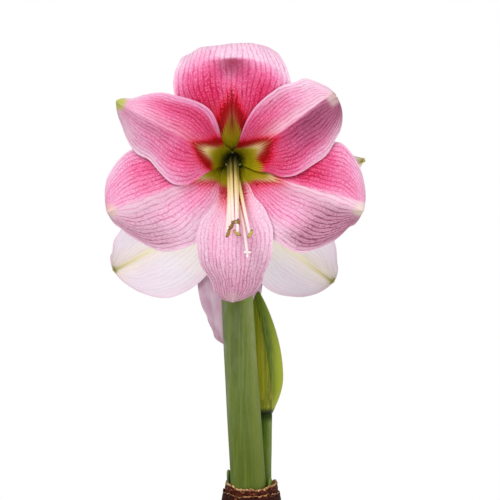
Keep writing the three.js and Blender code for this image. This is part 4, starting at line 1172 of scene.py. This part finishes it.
def tepal_colouring():
    """Group: both faces of a tepal from its marks. Reach and Beside are mm from the ovary and from the
    midrib.

    The inner face runs from an olive throat through a wedge of yellow-green and its cream point, streaks of
    crimson to both sides of it, and hot pink, to a pale margin and tip. Wavy veins darken it, with a net of
    dark meshes round pale beads between them, which are partly painted glints. Heat sets how pink it is, Warm
    Side which half is pinker. Rib lays a pale band beside the midrib, partly its own colour and partly a
    painted highlight on the lit side of the keel; Rib Side is the half on which it fades out, and Shade paints
    shade on the other half beside it; Rib Shift bends their border, in mm at the tip. Rim Side is the margin
    that has a mauve rim and a darker band within. Dusk paints shade on the cool half towards the end, and Tip
    Dusk dulls the end with its dusky speckle and painted shade. Hollow paints shade in the hollow under a
    rolled end, past which it is paler with painted light, and draws a dark line down the midrib.
    """
    inputs = {
        "Veins": 11.0, "Veins From": 0.0, "Wedge": 62.0, "Wedge Width": 5.0, "Green Edge": 38.0,
        "Green Lean": 0.0, "Cream": 0.8, "Crimson": 1.0, "Red Reach": 24.0, "Heat": 0.8, "Warm Side": 0.0,
        "Rib": 0.5, "Rib Side": 1.0, "Rib Width": 5.0, "Rib Shift": 0.0, "Shade": 0.0, "Rim Side": 0.0,
        "Dusk": 0.0, "Tip Dusk": 0.0, "Hollow": 0.0, "Net": 0.5, "Tip": 0.5, "Tip Green": "#b9b95e",
        "Wedge Green": "#a08a14", "Back Tip": "#a3a548", "Blush": 0.08,
    }
    outputs = {"Colour": "Color", "Height": "Float", "Rough": "Float"}
    tree, given, out = effect("tepal_colouring", inputs, outputs)
    at = here(tree)
    names = ("along", "across", "reach", "beside", "inner")
    along, across, reach, beside, inner = (mark(tree, name) for name in names)

    flat = node(tree, "CombineXYZ", {0: times(reach, 0.016), 1: across, 2: inner})
    wander = plus(clouds(flat, 3.2, 2), -0.5)
    shiver = plus(clouds(flat, 11, 1), -0.5)
    count = plus(times(across, given["Veins"]), times(wander, 1.5), times(shiver, 0.4))
    wave = maths("COSINE", times(count, 2 * math.pi))
    between = maths("COSINE", times(count, 4 * math.pi))
    broken = rise(clouds(flat, 9, 3, 0.6), 0.32, 0.6, 0.35, 1.0)
    started = maths("SUBTRACT", along, given["Veins From"])
    broken = times(broken, rise(started, -0.16, 0.02, 0.25, 1.0))
    vein = times(rise(wave, 0.1, 1.0), broken)
    minor = times(rise(between, 0.3, 1.0), rise(clouds(flat, 14, 2), 0.62, 0.4, 0.0, 0.4))
    mesh = node(tree, "CombineXYZ", {0: times(reach, 1 / 1.75), 1: times(count, 2.0)})
    hearts = {"Vector": mesh, "Scale": 1.0, "Randomness": 0.9}
    heart = node(tree, "TexVoronoi", hearts, feature="F1", voronoi_dimensions="2D")
    patchy = rise(clouds(flat, 6, 3), 0.35, 0.6, 0.3, 1.0)
    net = times(rise(heart, 0.3, 0.7), patchy, given["Net"])
    glinting_bead = times(rise(heart, 0.4, 0.1), rise(wave, 0.7, 0.0), patchy)
    dark = maths("MINIMUM", plus(times(vein, 0.6), times(minor, 0.45), times(net, 0.45)), 1.0)

    wide, from_rib = maths("ABSOLUTE", across), maths("ABSOLUTE", beside)
    patch = plus(clouds(flat, 2.3, 3), -0.5)
    bent = maths("SUBTRACT", beside, times(along, along, given["Rib Shift"]))
    step = rise(bent, -9.0, 9.0, -0.26, 0.26)
    side = times(step, rise(along, 0.36, 0.62, 0.3, 1.0), rise(along, 0.6, 1.0, 1.0, 0.15))
    heat = times(given["Heat"], rise(along, 0.4, 1.0, 1.0, 0.2))
    heat = plus(heat, times(given["Warm Side"], plus(times(across, 0.3), side)))
    heat = plus(heat, times(rise(wide, 0.55, 1.0), rise(along, 0.35, 0.75, -0.08, -0.3)))
    # Hollow makes a rolled tepal paler beside the midrib past its middle and, as painted light, on the
    # rolled-back end and down its clockwise side, where the roll faces the light
    rolled = plus(
        times(hump(from_rib, 9.0), rise(along, 0.42, 0.55, 0, -0.2)), rise(along, 0.66, 0.9, 0, -0.12),
        times(hump(plus(beside, 3.0), 22.0), rise(along, 0.755, 0.79, 0, -0.4)),
        times(rise(beside, -8.0, -26.0), rise(along, 0.62, 0.8, 0, -0.22)),
    )
    heat = plus(heat, times(rolled, given["Hollow"]))
    heat = maths("MULTIPLY_ADD", patch, 0.5, heat, clamp=True)
    petal = ramp(heat, (0, "#f1c9df"), (0.25, "#f2a2c8"), (0.5, "#ee6a9e"), (0.75, "#df3068"), (1, "#c90d34"))
    veined = ramp(heat, (0, "#d996b6"), (0.25, "#d6689a"), (0.5, "#c9346a"), (0.75, "#b4103e"), (1, "#980418"))
    colour = blended(dark, petal, veined)
    # the pale cells between the veins lightened: partly their own colour, partly painted glints of their
    # sparkle
    colour = blended(times(glinting_bead, 0.4), colour, ramp(heat, (0, "#fff0f8"), (0.5, "#ffc0dc"), (1, "#f0507c")))

    cool = times(given["Warm Side"], plus(times(across, 0.6), times(step, 2.2)), -1.0)
    off_edge = rise(wide, 0.98, 0.72, 0.2, 1.0)
    # Dusk paints shade on the cool half towards the end; Tip Dusk dulls the end, its dusky speckle together
    # with painted shade where it curves away
    shade_and_dusk = times(rise(cool, 0.15, 0.75), rise(along, 0.62, 0.86), off_edge, given["Dusk"])
    shade_and_dusk = plus(times(rise(along, 0.66, 0.92), given["Tip Dusk"]), shade_and_dusk)
    relief = plus(times(dark, 0.9), times(glinting_bead, -0.35))
    dull = ramp(relief, (0.0, "#c588a2"), (0.35, "#a05a76"), (0.9, "#6e3048"))
    colour = blended(maths("MINIMUM", shade_and_dusk, 0.92), colour, dull)
    # painted shade in the hollow under the rolled end, set by Hollow
    hollow_shade = times(rise(along, 0.775, 0.75), rise(along, 0.6, 0.74), hump(plus(beside, 0.5), 13.0))
    hollow_shade = times(hollow_shade, given["Hollow"])
    colour = blended(times(hollow_shade, 0.9), colour, "#982248")
    towards = times(across, given["Rim Side"])
    banded = times(rise(along, 0.3, 0.42), rise(along, 0.9, 0.66))
    within = times(hump(plus(towards, -0.68), 0.15), banded, plus(times(dark, 0.4), 0.35))
    colour = blended(within, colour, "#b42452")
    mauve = ramp(dark, (0, "#e6a2c8"), (0.8, "#c06c98"))
    colour = blended(times(rise(towards, 0.78, 0.9), banded, 0.65), colour, mauve)
    signed = times(bent, given["Rib Side"])
    outer_half = rise(along, 0.34, 0.62)
    shadow = times(rise(signed, -36.0, -14.0), rise(signed, 0.4, -1.6), rise(along, 0.42, 0.78))
    shadow = times(shadow, given["Shade"])
    colour = blended(times(shadow, 0.85), colour, ramp(dark, (0, "#a0426a"), (0.7, "#6c1a38")))
    # a pale band beside the midrib on one side: partly the rib's own colour, partly a painted highlight on the
    # lit side of its keel
    rib_stripe_and_highlight = times(hump(signed, given["Rib Width"]), rise(signed, -1.6, 0.6), outer_half, given["Rib"])
    rib_stripe_and_highlight = times(rib_stripe_and_highlight, maths("MULTIPLY_ADD", vein, -0.5, 1.0))
    colour = blended(rib_stripe_and_highlight, colour, "#efd0de")

    edge = maths("SUBTRACT", given["Wedge"], given["Green Edge"])
    edge = times(hump(beside, given["Wedge Width"]), edge)
    edge = plus(edge, given["Green Edge"], times(across, given["Green Lean"]))
    past = maths("SUBTRACT", reach, plus(edge, times(vein, -4.0), times(patch, 7.0)))
    flank = hump(plus(from_rib, -6.0), 10.0)
    near_wedge = rise(maths("DIVIDE", past, given["Red Reach"]), 1.0, 0.0)
    streaks = maths("MULTIPLY_ADD", dark, 1.1, 0.55)
    red = maths("MINIMUM", times(near_wedge, flank, streaks, given["Crimson"], 1.9), 1.0)
    crimson = ramp(red, (0, "#ee7f96"), (0.3, "#e94262"), (0.6, "#dc0c28"), (0.85, "#c40014"), (1, "#a0000a"))
    colour = blended(red, colour, crimson)
    cream = times(hump(plus(past, 1.0), 7.0), hump(beside, 5.0), given["Cream"])
    colour = blended(cream, colour, "#f2dca2")
    green = ramp(
        times(reach, 1 / 60), (0, "#a09c30"), (0.2, "#b8ae20"), (0.35, "#a89e12"), (0.5, "#9e940a"),
        (0.75, "#b8a41a"), (1, "#cca94a"),
    )
    green = blended(times(hump(beside, 6.0), rise(reach, 30.0, 50.0)), green, given["Wedge Green"])
    green = blended(times(vein, 0.25), green, "#74740a")
    colour = blended(rise(past, 3.0, -6.0), colour, green)
    midline = times(hump(beside, 0.8), rise(reach, 44.0, 52.0), rise(reach, 92.0, 66.0), given["Hollow"])
    colour = blended(times(midline, 0.75), colour, "#6a0414")
    margin = times(rise(wide, 0.94, 1.0, 0, 0.5), rise(along, 0.45, 0.6))
    colour = blended(margin, colour, "#f8d6e8")
    point = times(rise(along, 0.925, 0.965), rise(from_rib, 7.0, 2.5), given["Tip"])
    colour = blended(point, colour, given["Tip Green"])

    # dark olive at the claw: its green darkened with painted shade deep in the tube; then cream, then white
    back = ramp(
        along, (0, "#3e440e"), (0.1, "#70782a"), (0.2, "#a6ab52"), (0.32, "#dcd9a8"), (0.45, "#f6f0e4"),
        (0.7, "#f3ebf5"), (1, "#efe2ef"),
    )
    back = blended(times(vein, 0.16), back, "#d8b6c8")
    back = blended(rise(wide, 0.75, 1.0, 0, 0.3), back, "#eebcd3")
    back = blended(times(hump(from_rib, 11.0), rise(along, 0.3, 0.5), 0.5), back, "#f1e8c8")
    # mauve patches of blush on the back; set high, as on the rear bottom tepal, they also paint the shade that
    # falls there
    back = blended(times(given["Blush"], rise(patch, -0.3, 0.2, 0.5, 1.0)), back, "#b88ca6")
    keel = times(hump(from_rib, maths("MULTIPLY_ADD", along, -1.2, 3.0)), 0.85)
    midrib = ramp(along, (0, "#a3ad45"), (0.4, "#dcd6a4"), (0.7, "#f3ebca"), (0.9, "#d6ca8a"), (1, "#a3a24a"))
    back = blended(keel, back, midrib)
    green_tip = times(rise(along, 0.968, 1.0), rise(from_rib, 5.0, 2.0))
    back = blended(green_tip, back, given["Back Tip"])
    feed(out["Colour"], blended(rise(inner, 0.0, 0.3), back, colour))
    grain = clouds(at, 1300, 2, 0.6)
    feed(out["Height"], plus(times(vein, -1.0), times(grain, 0.35), times(glinting_bead, 0.5)))
    feed(out["Rough"], rise(grain, 0.3, 0.7, 0.42, 0.58))
    return tree


TEPAL_COLOURING = tepal_colouring()
TEPAL_COLOURS = {
    "front_top": {
        "Veins": 11.0, "Heat": 0.92, "Crimson": 1.25, "Red_Reach": 38.0, "Cream": 0.1, "Wedge": 58.0,
        "Wedge_Width": 7.5, "Rib": 0.0, "Net": 0.8, "Tip": 0.0, "Wedge_Green": "#8c5606", "Hollow": 1.0,
    },
    "front_upper_left": {
        "Heat": 0.68, "Crimson": 1.7, "Red_Reach": 24.0, "Cream": 1.0, "Wedge": 45.0, "Green_Edge": 35.0,
        "Net": 0.55, "Tip": 1.0, "Tip_Green": "#c0c266", "Rib": 0.3, "Rib_Side": -1.0, "Rib_Width": 8.0,
        "Shade": 0.25, "Rim_Side": -1.0, "Warm_Side": -0.3, "Wedge_Green": "#e2cc5c",
    },
    "front_upper_right": {
        "Heat": 0.76, "Crimson": 1.5, "Red_Reach": 28.0, "Cream": 0.9, "Wedge": 46.5, "Green_Edge": 36.0,
        "Green_Lean": -11.0, "Net": 0.6, "Tip": 0.5, "Rib": 0.65, "Rib_Width": 9.0, "Shade": 0.95,
        "Rib_Shift": 4.5, "Rim_Side": 0.88, "Warm_Side": -0.15, "Wedge_Green": "#c0b032",
        "Tip_Green": "#eedcd2",
    },
    "front_lower_left": {
        "Veins": 12.0, "Heat": 0.46, "Crimson": 0.65, "Cream": 0.8, "Wedge": 47.0, "Green_Edge": 37.0,
        "Net": 0.7, "Tip": 0.4, "Rib": 0.6, "Rib_Width": 9.0, "Warm_Side": -0.6, "Dusk": 0.8,
        "Wedge_Green": "#b4b83c", "Tip_Green": "#dcd3a0",
    },
    "front_lower_right": {
        "Veins": 13.0, "Heat": 0.65, "Crimson": 0.75, "Cream": 0.7, "Wedge": 53.0, "Green_Edge": 38.0,
        "Net": 0.75, "Tip": 0.6, "Rib": 0.8, "Rib_Side": -1.0, "Rib_Width": 9.0, "Rib_Shift": 6.0,
        "Warm_Side": 0.72, "Dusk": 1.5, "Wedge_Green": "#a8921e", "Tip_Green": "#eee2ca",
    },
    "front_bottom": {
        "Veins": 9.0, "Veins_From": 0.64, "Heat": 0.12, "Crimson": 0.8, "Red_Reach": 34.0, "Cream": 0.1,
        "Wedge": 42.0, "Net": 0.9, "Tip": 0.4, "Rib": 0.0, "Tip_Dusk": 0.62, "Tip_Green": "#c9b8b0",
    },
    "rear_top": {
        "Heat": 0.9, "Crimson": 1.1, "Red_Reach": 34.0, "Cream": 0.1, "Wedge": 62.0, "Net": 0.7, "Rib": 0.1,
    },
    "rear_upper_left": {
        "Heat": 0.72, "Crimson": 1.0, "Wedge": 48.0, "Tip": 1.0, "Net": 0.55, "Back_Tip": "#dccd8c",
        "Rib_Width": 8.0,
    },
    "rear_upper_right": {
        "Heat": 0.72, "Crimson": 1.0, "Wedge": 50.0, "Net": 0.55, "Rib": 0.7, "Rib_Width": 9.0,
        "Rib_Shift": 2.0, "Shade": 0.5,
    },
    "rear_lower_left": {
        "Veins": 12.0, "Heat": 0.46, "Crimson": 0.7, "Wedge": 50.0, "Warm_Side": -0.7, "Net": 0.7,
        "Rib": 0.7, "Rib_Width": 9.0, "Dusk": 0.4,
    },
    "rear_lower_right": {
        "Veins": 12.0, "Heat": 0.46, "Crimson": 0.7, "Wedge": 54.0, "Warm_Side": 0.7, "Net": 0.7,
        "Rib": 0.7, "Rib_Width": 9.0, "Rib_Side": -1.0, "Rib_Shift": 4.0, "Dusk": 0.5, "Blush": 0.12,
    },
    "rear_bottom": {
        "Veins": 9.0, "Heat": 0.15, "Crimson": 0.5, "Wedge": 44.0, "Net": 0.9, "Rib": 0.1, "Tip_Dusk": 0.5,
        # the high Blush here is partly painted shade
        "Blush": 0.95, "Back_Tip": "#9a948e",
    },
}


def tepal_finish(name, values):
    """Satin petal skin over soft flesh that light sinks into."""
    finish, tree = new_finish(name)
    made = placed(tree, TEPAL_COLOURING, **values)
    shade(
        tree, made["Colour"], made["Rough"], made["Height"], bump=(0.45, 0.00035), Subsurface_Weight=0.12,
        Subsurface_Radius=(1.0, 0.5, 0.55), Subsurface_Scale=0.001, Specular_IOR_Level=0.12,
    )
    return finish


for side, tepals in (("front", FRONT_TEPALS), ("rear", REAR_TEPALS)):
    for place, tepal in tepals.items():
        petal = tepal_mesh(f"petal_{side}_{place}", BLOOMS[side], tepal, TEPAL_GRID[side])
        slot = "tepal_pale" if place == "bottom" else "tepal"
        finish = tepal_finish(f"petal_{side}_{place}", TEPAL_COLOURS[f"{side}_{place}"])
        settle(petal, finish, slot, f"tepal_{side}_{place}")

# Stamens: six filaments rise from a low ring at the bottom of the tube, leave it together and fall forwards
# towards the bottom tepal, green at the root, darkened there with painted shade, and pinkish white above.
# Each carries a small curled anther.

STAMEN_TIPS = [
    (84, 4.2, -48.2), (78, 3.7, -41.6), (77, 0.7, -40.6), (81, -1.6, -44), (85, -3.6, -48.5), (84, 13.4, -49),
]
STYLE_TIP = (93, 11.8, -64)
KNEES = (0.22, 0.48, 0.76)
FILAMENT_PATH = {"drift": (0.03, 0.25, 0.65), "fall": (0.01, 0.2, 0.64)}
STYLE_PATH = {"drift": (0.03, 0.2, 0.74), "fall": (0.04, 0.3, 0.72)}
FILAMENT = {"ring": 3.5, "root": 1.4, "tip": 1.2, "rows": 90, "sides": 18}
ANTHER = {"length": 7.0, "radius": 1.2, "bend": 2.0, "rows": 26, "sides": 28}
ANTHER_LIES = [-35, 80, 15, 52, 72, 62]  # each anther's slant to the bloom's right, in degrees
ANTHER_AGES = [0.35, 1.0, 0.8, 1.0, 0.75, 0.0]  # from fresh yellow to dried brown
STAMEN_RING = {"radius": 4.9, "height": 2, "hole": 1.35, "boxy": 0.45}  # `boxy` squares its section's corners
RING_GRID = (24, 72)
STYLE = {"radius": 1.05, "rows": 100, "sides": 28}
STIGMA = {"lobes": 3, "length": 3.3, "radius": 0.95, "bow": 1.5, "rows": 22, "sides": 24}


def throat_line(bloom, root, tip, path, count):
    """A line from its root up the tube and down through the mouth to its tip: at the knees it has made the
    given shares of its drift sideways and of its fall."""
    (x0, y0), (reach, x1, y1) = root, tip
    shares = zip(KNEES, path["drift"], path["fall"])
    knees = [(reach * k, x0 + (x1 - x0) * d, y0 + (y1 - y0) * f) for k, d, f in shares]
    places = np.array([(0, x0, y0), *knees, (reach, x1, y1)])
    return centreline(in_bloom(bloom, *places.T), count)


def filament_lines(bloom):
    """The six filaments' lines, rooted round the ring."""
    angle = around(len(STAMEN_TIPS))
    roots = zip(FILAMENT["ring"] * np.cos(angle), FILAMENT["ring"] * np.sin(angle))
    count = FILAMENT["rows"]
    return [throat_line(bloom, root, tip, FILAMENT_PATH, count) for root, tip in zip(roots, STAMEN_TIPS)]


def stamen_ring(name, bloom):
    """A low ring with a hole for the style, its section a rounded loop."""
    section, angle = around(RING_GRID[0])[:, None], around(RING_GRID[1])
    width = (STAMEN_RING["radius"] - STAMEN_RING["hole"]) / 2
    middle = (STAMEN_RING["radius"] + STAMEN_RING["hole"]) / 2
    waves = (np.cos(section), np.sin(section))
    aside, above = (np.sign(wave) * np.abs(wave) ** STAMEN_RING["boxy"] for wave in waves)
    radius, out = middle + width * aside, STAMEN_RING["height"] / 2 * (1 + above)
    grid = in_bloom(bloom, out, radius * np.cos(angle), radius * np.sin(angle))
    return skin(name, grid, ends="loop", sharp=60, along=0.0)


def filament_finish():
    """Filament skin: green in the throat, darkened there with painted shade, cream, then white with a pink
    blush; satin and a little waxy.
    """
    finish, tree = new_finish("filament")
    along = mark(tree, "along")
    # painted shade: the ring and the roots deep in the tube a dark olive
    colour = ramp(
        along, (0, "#2e3006"), (0.28, "#4c4c0c"), (0.42, "#8c8430"), (0.52, "#d2bd74"), (0.64, "#ecd9a4"),
        (0.8, "#fcf0e0"), (1, "#fbe6e6"),
    )
    grain = clouds(here(tree), 900, 2)
    colour = blended(rise(grain, 0.45, 0.7, 0, 0.15), colour, "#f2c4c4")
    shade(
        tree, colour, 0.45, grain, bump=(0.2, 0.0002), Subsurface_Weight=0.3,
        Subsurface_Radius=(1.0, 0.7, 0.5), Subsurface_Scale=0.001, Specular_IOR_Level=0.3,
    )
    return finish


def anther_grids(lines):
    """Curled anthers: two-lobed bean sections along a bow that lies across each filament's end."""
    u, angle = np.linspace(-1, 1, ANTHER["rows"]), around(ANTHER["sides"])
    along = u[:, None]
    radius = ANTHER["radius"] * np.clip(1 - np.abs(u) ** 3.2, 0.02, 1) ** 0.5
    grids = []
    for (line, _), slant in zip(lines, np.radians(ANTHER_LIES)):
        lie = unit(np.array([np.cos(slant), -0.2, np.sin(slant)]))
        hollow = unit(np.cross((0, 1, 0), lie))
        bow = line[-1] + along * lie * ANTHER["length"] / 2 + (1 - along**2) * hollow * ANTHER["bend"] / 2
        slope = unit(np.gradient(bow, axis=0))
        grids.append(pipe(bow, slope, radius, ANTHER["sides"], 0.85, 0.14 * np.cos(2 * angle)))
    return grids, u, angle


def anther_finish():
    """Anthers half open: tan yellow pollen in two rows, with dark brown dried edges between them."""
    finish, tree = new_finish("anther")
    pollen = clouds(here(tree), 2600, 3, 0.7)
    fresh = ramp(pollen, (0.3, "#a08a34"), (0.5, "#cdb158"), (0.72, "#e8d490"))
    dried = ramp(pollen, (0.3, "#5c3a14"), (0.5, "#94662c"), (0.72, "#d0a566"))
    colour = blended(mark(tree, "age"), fresh, dried)
    seam = rise(maths("ABSOLUTE", mark(tree, "seam")), 0.5, 0.12)
    ends = rise(maths("ABSOLUTE", mark(tree, "along")), 0.62, 1.0)
    colour = blended(maths("MAXIMUM", seam, ends), colour, "#4a3210")
    shade(tree, colour, 0.85, pollen, bump=(0.7, 0.0004))
    return finish


FILAMENT_SKIN, POLLEN = filament_finish(), anther_finish()
for side, bloom in BLOOMS.items():
    lines = filament_lines(bloom)
    u = np.linspace(0, 1, FILAMENT["rows"])
    radius = FILAMENT["root"] + (FILAMENT["tip"] - FILAMENT["root"]) * u
    threads = [
        skin(f"filament_{side}_{k}", pipe(*line, radius, FILAMENT["sides"]), along=u[:, None])
        for k, line in enumerate(lines)
    ]
    stamens = joined(f"filaments_{side}", [stamen_ring(f"stamen_ring_{side}", bloom), *threads])
    settle(stamens, FILAMENT_SKIN, "stamens", f"stamens_{side}")
    grids, v, angle = anther_grids(lines)
    beans = [
        skin(f"anther_{side}_{k}", grid, along=v[:, None], seam=np.sin(angle)[None], age=ANTHER_AGES[k])
        for k, grid in enumerate(grids)
    ]
    settle(joined(f"anthers_{side}", beans), POLLEN, "stamens", f"stamens_{side}")

# Pistil: a long white style from the middle of the ovary, which droops past the anthers and ends in a stigma
# of three short, blunt, spreading lobes.


def pistil_pieces(side, bloom):
    """The style as a slim pipe that widens a little at its end, and the three lobes as blunt pipes that bow
    out."""
    line, slope = throat_line(bloom, (0, 0), STYLE_TIP, STYLE_PATH, STYLE["rows"])
    u, v = np.linspace(0, 1, STYLE["rows"]), np.linspace(0, 1, STIGMA["rows"])
    radius = STYLE["radius"] * (1 + 0.12 * smoothed(u, 0.9, 1))
    pieces = [skin(f"style_{side}", pipe(line, slope, radius, STYLE["sides"]), along=u[:, None])]
    blunt = STIGMA["radius"] * np.clip(1 - v**5, 0.03, 1) ** 0.5
    out, right, up = bloom_axes(bloom)
    for k, angle in enumerate(around(STIGMA["lobes"]) + 0.5):
        away = np.cos(angle) * right + np.sin(angle) * up
        forwards = STIGMA["bow"] * np.sin(np.pi / 2 * v[:, None]) * out
        bow = line[-2] + STIGMA["length"] * v[:, None] * away + forwards
        lobe = pipe(bow, unit(np.gradient(bow, axis=0)), blunt, STIGMA["sides"])
        pieces.append(skin(f"stigma_{side}_{k}", lobe, along=1.0))
    return pieces


def pistil_finish():
    """Style skin: pale green low down, white above; the stigma is a dull velvety white with a pink tinge."""
    finish, tree = new_finish("pistil")
    along = mark(tree, "along")
    stops = ((0, "#5c6418"), (0.35, "#a8a35c"), (0.55, "#ecdcb4"), (0.8, "#fae6e0"), (1, "#f7e6e4"))
    colour = ramp(along, *stops)
    velvet = clouds(here(tree), 1800, 3, 0.6)
    shade(
        tree, colour, rise(along, 0.95, 1.0, 0.45, 0.85), velvet, bump=(0.4, 0.0003), Subsurface_Weight=0.3,
        Subsurface_Radius=(1.0, 0.8, 0.6), Subsurface_Scale=0.001,
    )
    return finish


STYLE_SKIN = pistil_finish()
for side, bloom in BLOOMS.items():
    pistil = joined(f"style_and_stigma_{side}", pistil_pieces(side, bloom))
    settle(pistil, STYLE_SKIN, "pistil", f"pistil_{side}")

# Studio: a pale floor that fades into an even white surround, one broad soft light above and to the left of
# the camera, and a weaker one from the right. The camera stands level with the blooms, as in the photograph.

FLOOR = {"radius": 3000, "gap": 0.6, "thickness": 4.0, "sides": 96}
FLOOR_FADE = (0.45, 0.95)  # distances from the pot, in metres, at which the floor starts to fade and has gone
SURROUND = {"seen": 1.0, "lighting": 0.57}


def floor_piece():
    """A round floor a hair below the pot, whose pale face fades out with distance from the pot."""
    radius = np.concatenate([[1], np.linspace(50, FLOOR["radius"], 40)])
    outline = np.stack([radius, np.full(len(radius), -FLOOR["gap"])], -1)
    outline = np.concatenate([outline, outline[::-1] - np.array([0, FLOOR["thickness"]])])
    finish, tree = new_finish("studio_floor")
    at = here(tree)
    distance = node(tree, "VectorMath", {0: at}, output=1, operation="LENGTH")
    shade(tree, ramp(clouds(at, 6, 2), (0.3, "#f1f0ee"), (0.7, "#f7f6f4")), 0.8)
    principled = tree.nodes["Principled BSDF"]
    feed(principled.inputs["Alpha"], rise(distance, *FLOOR_FADE, 1.0, 0.0))
    floor = skin("studio_floor", turned(outline, FLOOR["sides"]))
    floor.data.materials.append(finish)


def studio_surround():
    """An even white world: full white to the camera, weaker as light on the plant."""
    world = bpy.data.worlds.new("studio_surround")
    world.use_nodes = True
    tree = world.node_tree
    seen = node(tree, "LightPath", output=0)
    strength = maths("MULTIPLY_ADD", seen, SURROUND["seen"] - SURROUND["lighting"], SURROUND["lighting"])
    background = tree.nodes["Background"]
    feed(background.inputs["Color"], (1, 1, 1, 1))
    feed(background.inputs["Strength"], strength)
    bpy.context.scene.world = world


def soft_light(name, place, target, size, power):
    """A square area light at one point that faces another."""
    light = bpy.data.lights.new(name, "AREA")
    light.size, light.energy = size, power
    lamp = linked(name, light)
    lamp.location = place
    away = np.array(place) - np.array(target)
    tilt = math.atan2(math.hypot(away[0], away[1]), away[2])
    lamp.rotation_euler = (tilt, 0, math.atan2(away[0], -away[1]))


floor_piece()
studio_surround()
soft_light("key_light", (-0.8, -1.55, 1.75), (0, 0, 0.42), 0.9, 25)
soft_light("fill_light", (1.5, -1.0, 0.7), (0, 0, 0.4), 1.4, 9)

CAMERA = {"place": (0.0017, -1.5, 0.449), "down": 2.5, "focal_px": 1800, "frame_px": 500}
lens = bpy.data.cameras.new("photo_camera")
lens.sensor_width = 36
lens.lens = CAMERA["focal_px"] / CAMERA["frame_px"] * lens.sensor_width
lens.clip_start, lens.clip_end = 0.05, 20
camera = linked("photo_camera", lens)
camera.location = CAMERA["place"]
camera.rotation_euler = (math.radians(90 - CAMERA["down"]), 0, 0)
bpy.context.scene.camera = camera
bpy.context.scene.view_settings.view_transform = "Standard"
